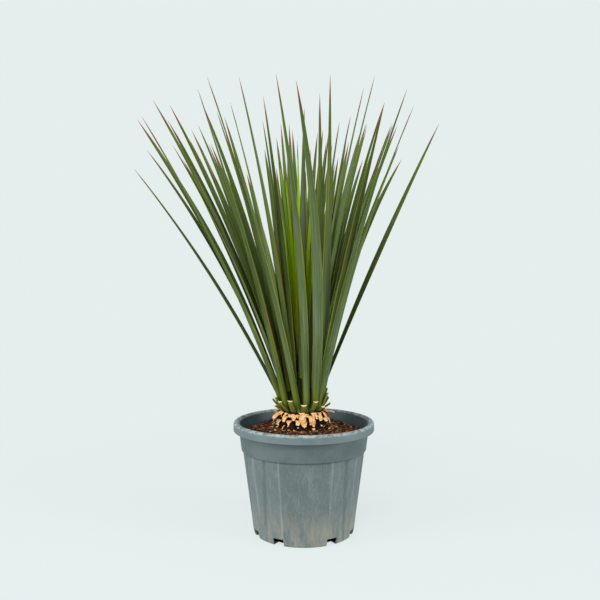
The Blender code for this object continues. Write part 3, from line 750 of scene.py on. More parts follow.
def plain_strip(azimuth, ends, widths, thickness, bow, stations, rng, unevenness, fray=0.0):
    """A short strip round the plant's axis from root to tip, given as (radius, height).

    Frayed strips narrow over their last part, each by its own tint's share.
    """
    start, end = (radial(azimuth, *spot) for spot in ends)
    side = Vector((-math.sin(azimuth), math.cos(azimuth), 0.0))
    inward = (end - start).normalized().cross(side)
    tint = rng.random()
    strip = []
    for i in range(stations):
        along = i / (stations - 1)
        bent = inward * (bow * 4.0 * along * (1.0 - along))
        drift = side * (rng.uniform(-1.0, 1.0) * unevenness * along * widths[0] / 2.0)
        half = between(widths, along) / 2.0 * (1.0 - rng.random() * unevenness)
        half *= 1.0 - fray * tint * max(along - 0.5, 0.0) / 0.5
        place = start.lerp(end, along) + bent + drift + Vector((PLANT_X, 0.0, 0.0))
        strip.append(Station(place, side, inward, half, thickness / 2.0, along, tint))
    return strip


def stub_ends():
    """Azimuth and tip of each stub."""
    for degrees, radius, height in FRONT_STUBS:
        yield FRONT + math.radians(degrees), (radius / 1000.0, height / 1000.0)
    rng = random.Random(STUB_SEED)
    for i in range(BACK_STUBS):
        azimuth = FRONT + math.radians(BACK_STUB_FIRST + i * BACK_STUB_STEP)
        yield azimuth, (rng.uniform(*BACK_STUB_TIP_RADII), rng.uniform(*BACK_STUB_TIP_HEIGHTS))


finish_rng = random.Random(FINISH_SEED)
stubs = [plain_strip(azimuth, (STUB_ROOT, tip), STUB_WIDTHS, STUB_THICKNESS, -STUB_BOW,
                     STUB_STATIONS, finish_rng, STUB_UNEVENNESS)
         for azimuth, tip in stub_ends()]
print(len(stubs), "stubs")

# %% [markdown]
# The stubs are younger tissue, kept fresh by the plant: brighter yellow-green than the leaves. The
# knife left a pale, corky end on each, which dries to cream.

# %% Stub materials


def stub_material():
    """Green skin of a cut leaf base."""
    skin = Skin("green_stub", 0.45)
    across, along, tint = (skin.attribute(word) for word in ("across", "along", "tint"))
    shift = skin.times(tint, 43.0)
    stripes = skin.noise(skin.vector(skin.line(across, 5.0, shift), along, shift), 1.6, 4.0)
    colour = skin.coated(
        rgb((86, 102, 28)),
        ((136, 142, 66), skin.ease(stripes, 0.35, 0.65)),
        ((158, 156, 92), skin.ease(along, 0.80, 1.0, 0.0, 0.55)),
        ((122, 116, 34), skin.ease(along, 0.55, 0.15, 0.0, 0.7)),
        # Painted shade: the sides of each stub darkened, where the stubs crowd
        (PAINTED_CLEFT_SHADE, skin.ease(skin.maths("ABSOLUTE", across), 0.55, 0.95, 0.0, 0.8)),
    )
    return skin.finish(colour, stripes, 0.0004)


def cut_material():
    """Pale corky tissue of a knife cut."""
    skin = Skin("cut_end", 0.8, 0.2)
    speck = skin.noise(skin.coordinates(), 900.0, 3.0)
    colour = skin.coated(rgb((184, 166, 110)), ((224, 210, 162), skin.ease(speck, 0.35, 0.65)))
    return skin.finish(colour, speck, 0.0003)


STUB_SKIN = stub_material()
CUT_SKIN = cut_material()
print("stub skins:", STUB_SKIN.name, CUT_SKIN.name)

# %% Sweep crown, stubs and heart
TINT_STEP = 0.618
LEAF_KEEL = 0.8

finish_piece(sweep("crown_stubs", stubs, Channel=0.30, Roughness_of_shape=0.0005, Skin=STUB_SKIN,
                   Cut_end=CUT_SKIN), "leaf_crown")


def sweep_leaves(name, leaves, widest, seed, skin):
    """Sweep a set of leaves; golden-ratio steps give each its own tint."""
    rng = random.Random(seed)
    strips = [leaf_strip(leaf, widest, rng, i * TINT_STEP % 1.0) for i, leaf in enumerate(leaves)]
    return sweep(name, strips, Keel=LEAF_KEEL, Skin=skin, Cut_end=skin)


finish_piece(sweep_leaves("crown_leaves", crown_leaves, LEAF_WIDTH, CROWN_SEED, LEAF_SKIN),
             "leaf_crown")
finish_piece(sweep_leaves("young_leaves", young_leaves, YOUNG_LEAF_WIDTH, HEART_SEED, YOUNG_SKIN),
             "heart_leaves")

# %% [markdown]
# ## Turned pieces
#
# The pot, the soil and the two cores are round. A lathe mesh suits them: a section of radius and
# height, repeated round the axis. A function then moves each point a little, for flutes, bumps or
# fibres, before the faces are made.

# %% Lathe helper


def turned(name, section, segments, shape=None, centre_x=0.0):
    """A closed turned mesh from a section that starts and ends on the axis, top end first."""
    points = []
    rings = []
    for radius, height in section:
        count = segments if radius else 1
        rings.append(range(len(points), len(points) + count))
        for i in range(count):
            spot = (radius, math.tau * i / segments, height)
            if shape and radius:
                spot = shape(*spot)
            out, angle, up = spot
            points.append((centre_x + out * math.cos(angle), out * math.sin(angle), up))
    faces = []
    for upper, lower in zip(rings, rings[1:]):
        for i in range(segments):
            j = (i + 1) % segments
            if len(upper) == 1:
                faces.append((upper[0], lower[i], lower[j]))
            elif len(lower) == 1:
                faces.append((upper[i], lower[0], upper[j]))
            else:
                faces.append((upper[i], lower[i], lower[j], upper[j]))
    obj = mesh_object(name, points, faces=faces)
    obj.data.shade_smooth()
    return obj


def arc(centre, radius, first, last, steps):
    """Points of a rounded corner in a section; angles in degrees, 0 outward and 90 up."""
    turns = [math.radians(between((first, last), i / steps)) for i in range(steps + 1)]
    return [(centre[0] + radius * math.cos(t), centre[1] + radius * math.sin(t)) for t in turns]


def lumps(x, y, z, size, seed):
    """Smooth bumps from -1 to 1 at a point, a few waves laid over each other."""
    rng = random.Random(seed)
    total = 0.0
    for _ in range(5):
        way = Vector((rng.gauss(0, 1), rng.gauss(0, 1), rng.gauss(0, 1))).normalized()
        total += math.sin((way.x * x + way.y * y + way.z * z) * math.tau / size
                          + rng.uniform(0, math.tau))
    return total / 5.0


print("lathe ready")

# %% [markdown]
# ## The cores inside the crown and the heart
#
# Between the leaves one looks down on the growing core. It lies in deep shade, so it needs little
# more than its size and a dark green that doesn't shine, painted near-black as that shade.

# %% Crown and heart cores
CORE_PROFILE = (
    (0.0140, 0.3000), (0.0260, 0.2750), (0.0335, 0.2500), (0.0365, 0.2273), (0.0355, 0.2263),
)
YOUNG_CORE_PROFILE = ((0.0, 0.0350), (0.0060, 0.0300), (0.0130, 0.0100), (0.0145, 0.0), (0.0, 0.0))
SEAT_GAP = 0.0003


def core_material():
    """Fibrous tissue deep between the leaves, painted near-black as shade."""
    skin = Skin("crown_core", 0.9, 0.1)
    fibre = skin.noise(skin.coordinates(0.15), 500.0, 4.0)
    # Painted shade: a near-black green
    colour = skin.coated(rgb((8, 12, 2)), ((34, 40, 10), fibre))
    return skin.finish(colour, fibre, 0.0008)


CORE_SKIN = core_material()
crown_section = [(0.0, CORE_TOP), *CORE_PROFILE, (0.0, CROWN_FOOT)]
finish_piece(turned("crown_core", crown_section, 64, centre_x=PLANT_X), "leaf_crown", CORE_SKIN)
young_section = [(radius, CORE_TOP + SEAT_GAP + height) for radius, height in YOUNG_CORE_PROFILE]
finish_piece(turned("young_core", young_section, 32, centre_x=PLANT_X), "heart_leaves", CORE_SKIN)

# %% [markdown]
# ## The stump and its dry leaf bases
#
# Old leaves were cut off and their bases dried. They bent back and hang like shingles, tan and
# papery, with their under faces painted darker as shade, over a dark fibrous stump whose near-black
# is painted shade between them. They are strips again, each where the solid has its base, with a
# curl, a rough shape and a frayed end.

# %% Stump
STUMP_RADIUS = 0.0490
STUMP_NECK_RADIUS = 0.0455
STUMP_SHOULDER = 0.1960
STUMP_NECK = 0.2000
STUMP_TOP = 0.2260
STUMP_FIBRE_DEPTH = 0.0006
STUMP_FIBRES_ROUND = 37.0
STUMP_FIBRE_SLANT = 9.0
DRY_BASE_ROOT_RADIUS = 0.0435
DRY_BASE_TIP_SHARE = 0.70
DRY_BASE_THICKNESS = 0.0013
DRY_BASE_BOW = 0.0022
DRY_BASE_UNEVENNESS = 0.16
DRY_BASE_FRAY = 0.75
DRY_STATIONS = 14
DRY_ROUGHNESS_OF_SHAPE = 0.0022

# Degrees from the front, root height, length and width in millimetres, tilt in degrees from
# straight up; pairs are the ends of the random draws
FRONT_DRY_BASES = (
    (-58, 223.0, 17.0, 17.0, 112), (-38, 221.5, 13.0, 14.0, 135), (-16, 225.0, 12.0, 15.5, 138),
    (2, 223.0, 16.0, 15.5, 158), (22, 223.5, 17.0, 14.5, 160), (42, 223.0, 12.0, 13.0, 140),
    (76, 223.0, 18.0, 13.0, 86),
)
BACK_DRY_BASES = 9
BACK_DRY_BASE_FIRST = 100.0
BACK_DRY_BASE_STEP = 20.0
BACK_DRY_BASE_HEIGHTS = (0.2200, 0.2240)
BACK_DRY_BASE_LENGTHS = (0.0130, 0.0180)
BACK_DRY_BASE_TILTS = (112.0, 156.0)
LOW_DRY_BASES = 17
LOW_DRY_BASE_HEIGHTS = (0.2120, 0.2175)
LOW_DRY_BASE_LENGTHS = (0.0105, 0.0135)
LOW_DRY_BASE_TILTS = (122.0, 148.0)
DRY_BASE_WIDTHS = (0.0115, 0.0160)


def dry_bases():
    """Each dry base as azimuth, root height, length, width and tilt in degrees."""
    for azimuth, height, length, width, tilt in FRONT_DRY_BASES:
        yield FRONT + math.radians(azimuth), height / 1e3, length / 1e3, width / 1e3, tilt
    rng = random.Random(STUMP_SEED)
    for i in range(BACK_DRY_BASES):
        azimuth = FRONT + math.radians(BACK_DRY_BASE_FIRST + i * BACK_DRY_BASE_STEP)
        yield azimuth, *(rng.uniform(*ends) for ends in (
            BACK_DRY_BASE_HEIGHTS, BACK_DRY_BASE_LENGTHS, DRY_BASE_WIDTHS, BACK_DRY_BASE_TILTS))
    for i in range(LOW_DRY_BASES):
        yield i * GOLDEN_ANGLE, *(rng.uniform(*ends) for ends in (
            LOW_DRY_BASE_HEIGHTS, LOW_DRY_BASE_LENGTHS, DRY_BASE_WIDTHS, LOW_DRY_BASE_TILTS))


def dry_strips():
    """The dry leaf bases that hang round the stump."""
    strips = []
    for azimuth, height, length, width, tilt in dry_bases():
        turn = math.radians(tilt)
        tip = (DRY_BASE_ROOT_RADIUS + length * math.sin(turn), height + length * math.cos(turn))
        strips.append(plain_strip(azimuth, ((DRY_BASE_ROOT_RADIUS, height), tip),
                                  (width, width * DRY_BASE_TIP_SHARE), DRY_BASE_THICKNESS,
                                  DRY_BASE_BOW, DRY_STATIONS, finish_rng, DRY_BASE_UNEVENNESS,
                                  DRY_BASE_FRAY))
    return strips


def dry_material():
    """Papery tan of a dry leaf base, with fibres along it."""
    skin = Skin("dry_leaf_base", 0.75, 0.25)
    across, along, tint = (skin.attribute(word) for word in ("across", "along", "tint"))
    shift = skin.times(tint, 47.0)
    fibre = skin.noise(skin.vector(skin.line(across, 9.0, shift), along, shift), 1.5, 4.0, 0.65)
    blotch = skin.noise(skin.vector(across, skin.times(along, 2.0), shift), 1.2)
    colour = skin.coated(
        skin.ramp(fibre, ((0.28, (150, 92, 42)), (0.5, (222, 168, 104)), (0.72, (254, 222, 168)))),
        ((124, 76, 36), skin.ease(blotch, 0.52, 0.74, 0.0, 0.8)),
        ((255, 236, 198), skin.ease(along, 0.80, 1.0, 0.0, 0.5)),
        # Painted shade: the under face of each dry base darker
        ((120, 80, 44), skin.ease(skin.attribute("face"), 0.2, -0.2, 0.0, 0.35)),
    )
    return skin.finish(colour, fibre, 0.0005)


def stump_material():
    """Dark fibrous wood between the dry bases, its near-black painted as the shade between them."""
    skin = Skin("stump_fibre", 0.95, 0.1)
    fibre = skin.noise(skin.coordinates(0.2), 420.0, 5.0)
    # Dark brown fibre; the near-black tones are painted shade between the dry bases
    colour = skin.ramp(fibre, ((0.3, (8, 5, 3)), (0.55, (30, 19, 11)), (0.8, (84, 58, 36))))
    return skin.finish(colour, fibre, 0.0012)


stump_section = [(0.0, STUMP_TOP), (STUMP_NECK_RADIUS - 0.0010, STUMP_TOP)]
stump_section += [(STUMP_NECK_RADIUS, z) for z in np.linspace(STUMP_TOP - 0.0010, STUMP_NECK, 8)]
stump_section += [(STUMP_RADIUS, STUMP_SHOULDER), (STUMP_RADIUS, STUMP_FOOT), (0.0, STUMP_FOOT)]


def stump_fibres(radius, angle, height):
    """Shallow lengthwise ridges on the part of the stump that shows."""
    if height > STUMP_SHOULDER:
        wave = math.sin(angle * STUMP_FIBRES_ROUND + STUMP_FIBRE_SLANT * height / STUMP_TOP)
        radius -= STUMP_FIBRE_DEPTH * (1.0 + wave)
    return radius, angle, height


finish_piece(turned("stump_wood", stump_section, 150, stump_fibres, PLANT_X), "stump",
             stump_material())
DRY_SKIN = dry_material()
finish_piece(sweep("dry_bases", dry_strips(), Points_round=18, Channel=0.25,
                   Roughness_of_shape=DRY_ROUGHNESS_OF_SHAPE, Skin=DRY_SKIN, Cut_end=DRY_SKIN),
             "stump")

# %% [markdown]
# Torn remains of the leaf bases are too small and thin for the model. A ring of papery scraps lies
# over the stump's top edge and closes the seam under the stubs. A second ring lies at its foot, where
# scraps rest against the soil.

# %% Scraps
SCRAP_THICKNESS = 0.0007
SCRAP_BOW = 0.0012
SCRAP_STATIONS = 8
SCRAP_UNEVENNESS = 0.35

# For each ring: how many, the ranges of the root's radius and height, of the tip's, and of the width
SCRAP_RINGS = (
    (38, ((0.0415, 0.0435), (0.2252, 0.2290)), ((0.0475, 0.0515), (0.2165, 0.2240)),
     (0.0070, 0.0125)),
    (22, ((0.0480, 0.0490), (0.2000, 0.2080)), ((0.0500, 0.0550), (0.1975, 0.2045)),
     (0.0030, 0.0080)),
)


def scrap_strips():
    """Torn scraps round the stump's top edge and its foot, each at its own slant."""
    rng = random.Random(SCRAP_SEED)
    strips = []
    for count, roots, tips, widths in SCRAP_RINGS:
        for i in range(count):
            root, tip = (tuple(rng.uniform(*ends) for ends in spot) for spot in (roots, tips))
            width = rng.uniform(*widths)
            strips.append(plain_strip(i * GOLDEN_ANGLE, (root, tip), (width, width * rng.random()),
                                      SCRAP_THICKNESS, SCRAP_BOW, SCRAP_STATIONS, rng,
                                      SCRAP_UNEVENNESS))
    return strips


finish_piece(sweep("dry_scraps", scrap_strips(), Points_round=12, Channel=0.2,
                   Roughness_of_shape=DRY_ROUGHNESS_OF_SHAPE, Skin=DRY_SKIN, Cut_end=DRY_SKIN),
             "stump")

# %% [markdown]
# ## The pot
#
# The pot is moulded plastic: a rolled rim, a plain collar, a step, and a fluted wall that narrows
# to a notched foot. The flutes repeat in each quarter: from a ridge the wall slopes in to a sharp
# crease, then steps out again. They are pressed into the lathe mesh by a formula, and eight blocks
# cut the drain notches.

# %% Pot shape
RIM_RADIUS = 0.1300
RIM_CREST_RADIUS = 0.1235
RIM_BAND = 0.0165
RIM_BAND_FOOT = POT_HEIGHT - RIM_BAND
COLLAR_TOP_RADIUS = 0.1212
COLLAR_TOP_HEIGHT = 0.2025
COLLAR_FOOT_RADIUS = 0.1155
COLLAR_FOOT_HEIGHT = 0.1550
BODY_TOP_RADIUS = 0.1127
BODY_TOP_HEIGHT = 0.1530
BODY_FOOT_RADIUS = 0.0927
FOOT_RADIUS = 0.0885
WALL = 0.0030
INNER_STEP_FOOT = 0.1540
INNER_STEP_TOP = 0.1590
RIM_WALL = 0.0026
FLOOR_THICKNESS = 0.0030
FLUTE_DEPTH = 0.0020
CREASE_SPREAD = 0.17
POT_TURN = math.radians(1.5)
POT_SEGMENTS = 480

# Depth of the wall from ridge to ridge over a quarter; an angle marked True moves with its crease
FLUTE_SECTION = (
    (0.0, 0.15, False), (8.2, 0.30, True), (10.0, 0.55, True), (12.4, 0.34, True),
    (25.0, 0.0, False), (37.6, 0.50, True), (39.6, 1.0, True), (41.2, 0.90, True),
    (42.2, 0.12, True), (55.0, 0.0, False), (67.0, 0.40, True), (70.0, 1.0, True),
    (72.4, 0.20, True), (90.0, 0.0, False),
)
CREASES = (40.0, 70.0)
RIDGES = (25.0, 55.0, 90.0)


def smooth_step(value):
    """Ease a value from 0 to 1 and hold it outside that range."""
    value = min(max(value, 0.0), 1.0)
    return value * value * (3.0 - 2.0 * value)


def quarter_angle(angle):
    """The angle from the front or back of the pot, in degrees, folded into one quarter."""
    return abs(math.degrees(math.asin(math.sin(angle + math.pi / 2.0 - POT_TURN))))


def crease_spread(height):
    """How much wider apart the creases stand at a height than at the top of the wall."""
    return 1.0 + CREASE_SPREAD * (1.0 - height / BODY_TOP_HEIGHT)


def flute_recess(angle, height):
    """How far the fluted wall is pressed in."""
    spread = crease_spread(height)
    knots = [place * (spread if moves else 1.0) for place, _, moves in FLUTE_SECTION]
    depths = [depth for _, depth, _ in FLUTE_SECTION]
    fade = smooth_step((height - 0.010) / 0.030)
    return FLUTE_DEPTH * fade * float(np.interp(quarter_angle(angle), knots, depths))


def outer_body_radius(height):
    """Radius of the fluted wall's ridges at a height."""
    return between((BODY_FOOT_RADIUS, BODY_TOP_RADIUS), height / BODY_TOP_HEIGHT)


def inner_wall_radius(height):
    """Radius of the pot's inner wall at a height, below or above its step."""
    if height < (INNER_STEP_FOOT + INNER_STEP_TOP) / 2.0:
        return outer_body_radius(height) - WALL
    share = (height - COLLAR_FOOT_HEIGHT) / (COLLAR_TOP_HEIGHT - COLLAR_FOOT_HEIGHT)
    return between((COLLAR_FOOT_RADIUS, COLLAR_TOP_RADIUS), share) - WALL


def pot_section():
    """Section of the pot from the middle of its floor over the rim to the middle of its foot."""
    lip = POT_HEIGHT - 0.0035
    inside = [(0.0, FLOOR_THICKNESS), (0.045, FLOOR_THICKNESS),
              (inner_wall_radius(FLOOR_THICKNESS) - 0.0030, FLOOR_THICKNESS),
              (inner_wall_radius(0.0065), 0.0065)]
    inside += [(inner_wall_radius(z), z) for z in np.linspace(0.0200, INNER_STEP_FOOT, 6)]
    inside += [(inner_wall_radius(z), z) for z in np.linspace(INNER_STEP_TOP, lip, 5)]
    crest = arc((RIM_CREST_RADIUS + 0.0010, POT_HEIGHT - 0.0034), 0.0034, 172.0, 80.0, 8)
    shoulder = arc((RIM_RADIUS - 0.0038, POT_HEIGHT - 0.0042), 0.0038, 78.0, 0.0, 8)
    band = [(RIM_RADIUS, POT_HEIGHT - 0.0090), (RIM_RADIUS, RIM_BAND_FOOT + 0.0016)]
    hem = arc((RIM_RADIUS - 0.0013, RIM_BAND_FOOT + 0.0013), 0.0013, 0.0, -180.0, 8)
    under = [(RIM_RADIUS - RIM_WALL, POT_HEIGHT - 0.0075),
             (RIM_RADIUS - RIM_WALL - 0.0015, POT_HEIGHT - 0.0055),
             (COLLAR_TOP_RADIUS + 0.0010, COLLAR_TOP_HEIGHT - 0.0004)]
    collar = [(between((COLLAR_TOP_RADIUS, COLLAR_FOOT_RADIUS), i / 8.0),
               between((COLLAR_TOP_HEIGHT - 0.0015, COLLAR_FOOT_HEIGHT + 0.0012), i / 8.0))
              for i in range(9)]
    step = arc((COLLAR_FOOT_RADIUS - 0.0010, COLLAR_FOOT_HEIGHT + 0.0010), 0.0010, -5.0, -90.0, 4)
    body = [(outer_body_radius(z), z) for z in (BODY_TOP_HEIGHT + 0.0004, 0.1519, 0.1500)]
    body += [(outer_body_radius(z), z) for z in np.linspace(0.1450, 0.0070, 32)]
    foot = arc((outer_body_radius(0.0) - 0.0042, 0.0042), 0.0042, 0.0, -90.0, 7)
    return inside + crest + shoulder + band + hem + under + collar + step + body + foot + [
        (FOOT_RADIUS - 0.0030, 0.0), (0.0700, 0.0), (0.0, 0.0)]


def press_flutes(radius, angle, height):
    """Press the flutes into the points of the outer wall."""
    if 0.0 < height < COLLAR_FOOT_HEIGHT - 0.0005 and radius > outer_body_radius(height) - 0.0006:
        radius -= flute_recess(angle, height)
    return radius, angle, height


pot = turned("pot_shell", pot_section(), POT_SEGMENTS, press_flutes)
print("pot shell:", len(pot.data.polygons), "faces before the notches")

# %% [markdown]
# The material paints shade into the creases and a pale line of wear with a painted highlight on the
# ridges, so it must know where they are. Each point keeps its nearness to a crease and to a ridge as
# a number from 0 to 1.

# %% Pot crease and ridge marks and notches
CREASE_MARK_WIDTH = 2.0
RIDGE_MARK_WIDTH = 0.7
NOTCH_ANGLES = (30.5, 68.0)
NOTCH_WIDTH = 0.0210
NOTCH_HEIGHT = 0.0134
NOTCH_REACH = (0.0690, 0.1050)
SHARP_EDGE = math.radians(42.0)
BLOCK_FACES = ((0, 1, 3, 2), (4, 6, 7, 5), (0, 4, 5, 1), (2, 3, 7, 6), (0, 2, 6, 4), (1, 5, 7, 3))


def notch_angles():
    """Angles of the drain notches, mirrored to all four quarters of the foot."""
    quarter = [math.radians(angle) for angle in NOTCH_ANGLES]
    half = quarter + [math.pi - angle for angle in quarter]
    return [side * angle + POT_TURN + FRONT for angle in half for side in (1.0, -1.0)]


def nearness(place, centres, width):
    """1 on a line and 0 away from it."""
    return max(math.exp(-((place - centre) / width) ** 2) for centre in centres)


def mark_shade_and_wear(obj):
    """Store nearness to creases and ridges for the points of the outer wall."""
    marks = []
    for vertex in obj.data.vertices:
        x, y, z = vertex.co
        near = (0.0, 0.0)
        if 0.004 < z < BODY_TOP_HEIGHT + 0.001 and math.hypot(x, y) > outer_body_radius(z) - 0.0026:
            place = quarter_angle(math.atan2(y, x))
            creases = [centre * crease_spread(z) for centre in CREASES]
            near = (nearness(place, creases, CREASE_MARK_WIDTH),
                    nearness(place, RIDGES, RIDGE_MARK_WIDTH))
        marks.append(near)
    for name, values in zip(("crease", "ridge"), zip(*marks)):
        store(obj, name, values)


def cut_notches(obj):
    """Cut the drain notches out of the foot."""
    depth = NOTCH_REACH[1] - NOTCH_REACH[0]
    middle = sum(NOTCH_REACH) / 2.0
    corners = [Vector((sx * depth, sy * NOTCH_WIDTH, sz * 2.0 * NOTCH_HEIGHT)) / 2.0
               for sx in (-1, 1) for sy in (-1, 1) for sz in (-1, 1)]
    blocks = bpy.data.collections.new("notch_blocks")
    for i, angle in enumerate(notch_angles()):
        turn = Matrix.Translation(radial(angle, middle, 0.0)) @ Matrix.Rotation(angle, 4, "Z")
        points = [turn @ corner for corner in corners]
        block = mesh_object(f"notch_block_{i}", points, faces=BLOCK_FACES)
        bpy.context.scene.collection.objects.unlink(block)
        blocks.objects.link(block)
    bpy.context.scene.collection.children.link(blocks)
    cut = obj.modifiers.new("notches", "BOOLEAN")
    cut.operation = "DIFFERENCE"
    cut.operand_type = "COLLECTION"
    cut.collection = blocks
    bake_modifiers(obj)
    for block in list(blocks.objects):
        bpy.data.objects.remove(block)
    bpy.data.collections.remove(blocks)
    obj.data.set_sharp_from_angle(angle=SHARP_EDGE)


mark_shade_and_wear(pot)
cut_notches(pot)
print("pot shell:", len(pot.data.polygons), "faces after the notches")

# %% [markdown]
# ## The plastic
#
# The plastic is a dull grey-blue, chalky from sun. Rain drew pale and dark streaks down the wall,
# dust lies brown on the lower part, and the rim top is lighter, rubbed and with a painted highlight.
# Noise stretched upright makes the streaks, and height decides where the dust lies. Painted shade
# darkens the creases, and the ridges carry a pale line of wear with a painted highlight. The last two
# coats paint shade into the inside of the pot and of the notches: how far a point lies inside the
# outer wall tells them apart.

# %% Pot material
COLLAR_SLOPE = (COLLAR_TOP_RADIUS - COLLAR_FOOT_RADIUS) / (COLLAR_TOP_HEIGHT - COLLAR_FOOT_HEIGHT)
COLLAR_START = COLLAR_FOOT_RADIUS - COLLAR_FOOT_HEIGHT * COLLAR_SLOPE
BODY_SLOPE = (BODY_TOP_RADIUS - BODY_FOOT_RADIUS) / BODY_TOP_HEIGHT


def pot_material():
    """Weathered grey-blue nursery plastic."""
    skin = Skin("pot_plastic", 0.5, 0.35)
    place, short, tall = (skin.coordinates(upright) for upright in (1.0, 0.3, 0.06))
    height = skin.parts(place)[2]
    streak = skin.noise(tall, 95.0, 4.0, 0.6)
    fine_streak = skin.noise(tall, 330.0, 3.0)
    mottle = skin.noise(short, 520.0, 4.0, 0.65)
    cloud = skin.noise(place, 22.0, 5.0, 0.6)
    dust = skin.noise(short, 60.0, 5.0, 0.7)
    scuff = skin.noise(place, 110.0, 5.0, 0.7)
    rub = skin.noise(place, 130.0, 5.0, 0.75)
    speck = skin.noise(place, 700.0, 4.0, 0.7)
    on_wall = skin.ease(height, BODY_TOP_HEIGHT + 0.001, BODY_TOP_HEIGHT - 0.002)
    chalk = skin.line(on_wall, 0.10, 0.05)
    radius = skin.vectors("LENGTH", skin.vectors("MULTIPLY", place, (1.0, 1.0, 0.0)))
    inside_collar = skin.maths("SUBTRACT", skin.line(height, COLLAR_SLOPE, COLLAR_START), radius)
    inside_body = skin.maths("SUBTRACT", skin.line(height, BODY_SLOPE, BODY_FOOT_RADIUS), radius)
    colour = skin.coated(
        rgb((72, 85, 87)),
        ((84, 96, 97), skin.ease(cloud, 0.35, 0.65)),
        ((100, 110, 110), on_wall, 0.35),
        ((150, 156, 152), skin.ease(mottle, 0.50, 0.66), chalk),
        ((70, 84, 88), skin.ease(mottle, 0.48, 0.34), chalk),
        ((136, 143, 138), skin.ease(streak, 0.50, 0.70), on_wall, 0.22),
        ((80, 95, 99), skin.ease(streak, 0.48, 0.30), on_wall, 0.22),
        ((146, 152, 147), skin.ease(fine_streak, 0.52, 0.72), on_wall, 0.18),
        ((142, 136, 120), skin.ease(height, 0.080, 0.008), skin.ease(dust, 0.34, 0.62), 0.62),
        ((88, 108, 116), skin.ease(height, 0.045, 0.006), skin.ease(scuff, 0.52, 0.66), 0.7),
        # Painted shade in the creases of the flutes
        ((66, 80, 82), skin.attribute("crease"), 0.55),
        # Pale line on the ridges: wear, with a painted highlight
        ((164, 163, 154), skin.attribute("ridge"),
         skin.ease(skin.noise(tall, 60.0, 3.0), 0.35, 0.60), 0.34),
        ((116, 130, 133), skin.ease(height, RIM_BAND_FOOT - 0.001, RIM_BAND_FOOT + 0.001), 0.32),
        # Lighter rim top: rubbed wear, with a painted highlight
        ((176, 186, 186), skin.ease(height, POT_HEIGHT - 0.0062, POT_HEIGHT - 0.0010),
         skin.ease(rub, 0.40, 0.60), 0.68),
        ((160, 160, 150), skin.ease(speck, 0.60, 0.72, 0.0, 0.35)),
        # Painted shade on the pot's inner wall
        ((68, 84, 88), skin.ease(inside_collar, 0.0008, 0.0024, 0.0, 0.85),
         skin.ease(height, BODY_TOP_HEIGHT + 0.001, COLLAR_FOOT_HEIGHT + 0.002)),
        # Painted shadow inside the drain notches
        ((16, 20, 20), skin.ease(inside_body, 0.0030, 0.0045, 0.0, 0.9),
         skin.ease(height, NOTCH_HEIGHT + 0.0006, NOTCH_HEIGHT + 0.0002)),
    )
    grain = skin.times(skin.noise(place, 2600.0, 2.0), 0.35)
    bumps = skin.maths("ADD", grain, skin.times(fine_streak, 0.8))
    return skin.finish(colour, bumps, 0.00022, skin.line(cloud, 0.25, 0.42))


finish_piece(pot, "pot", pot_material())

# %% [markdown]
# ## The soil
#
# Potting soil is crumbs of peat and bark. The bed underneath is a bumpy turned mesh that fills the
# pot as the solid does. Crumbs are then scattered over it with Geometry Nodes: points spread on the
# surface, and on each a small stone-like lump, turned and sized at random.

# %% Soil bed
SOIL_EDGE_HEIGHT = 0.1825
SOIL_MOUND = 0.0140
SOIL_MOUND_WIDTH = 0.0450
SOIL_FOOT_RADIUS = 0.0670
SOIL_FOOT_STEP = 0.0150
SOIL_BUMP = 0.0013
SOIL_HOLE = STUMP_RADIUS + SEAT_GAP
SOIL_EDGE = inner_wall_radius(SOIL_EDGE_HEIGHT)


def soil_height(radius):
    """Height of the soil's surface: level at the wall, mounded towards the stump."""
    return SOIL_EDGE_HEIGHT + SOIL_MOUND * smooth_step((SOIL_EDGE - radius) / SOIL_MOUND_WIDTH)


def soil_section():
    """Section of the soil from the stump's foot over the surface to the pot's floor."""
    floor = FLOOR_THICKNESS + SEAT_GAP
    section = [(0.0, STUMP_FOOT - SEAT_GAP), (SOIL_HOLE, STUMP_FOOT - SEAT_GAP)]
    section += [(radius, soil_height(radius))
                for radius in np.linspace(SOIL_HOLE, SOIL_EDGE - SEAT_GAP, 46)]
    section += [(inner_wall_radius(z) - SEAT_GAP, z)
                for z in (INNER_STEP_TOP, INNER_STEP_FOOT, SOIL_FOOT_STEP)]
    return section + [(SOIL_FOOT_RADIUS, SOIL_FOOT_STEP), (SOIL_FOOT_RADIUS, floor), (0.0, floor)]


def soil_bumps(radius, angle, height):
    """Bumps on the soil's surface, none at the wall and at the stump."""
    if height > SOIL_EDGE_HEIGHT - 0.0001:
        inner = smooth_step((radius - STUMP_RADIUS) / 0.006)
        spot = (radius * math.cos(angle), radius * math.sin(angle), height)
        height += SOIL_BUMP * inner * (lumps(*spot, 0.022, 1) + lumps(*spot, 0.009, 2))
    return radius, angle, height


def shift_hole(obj):
    """Move the soil's hole to the plant's own axis, a little off the pot's."""
    edge = SOIL_EDGE - SEAT_GAP
    for vertex in obj.data.vertices:
        radius = math.hypot(vertex.co.x, vertex.co.y)
        if vertex.co.z > SOIL_EDGE_HEIGHT - 0.003 or radius < SOIL_HOLE + SEAT_GAP:
            vertex.co.x += PLANT_X * smooth_step((edge - radius) / (edge - SOIL_HOLE))


def soil_material():
    """Crumbly peat, with painted shade in its hollows."""
    skin = Skin("soil", 0.95, 0.15)
    place = skin.coordinates()
    clod = skin.noise(place, 260.0, 5.0, 0.7)
    patch = skin.noise(place, 70.0, 3.0)
    colour = skin.coated(
        # Peat colour whose dark low end lies in the bump's hollows: painted shade
        skin.ramp(clod, ((0.30, (30, 16, 9)), (0.50, (70, 40, 24)), (0.72, (120, 74, 46)))),
        ((30, 16, 9), skin.ease(patch, 0.42, 0.62, 0.0, 0.6)),
    )
    return skin.finish(colour, clod, 0.0020)


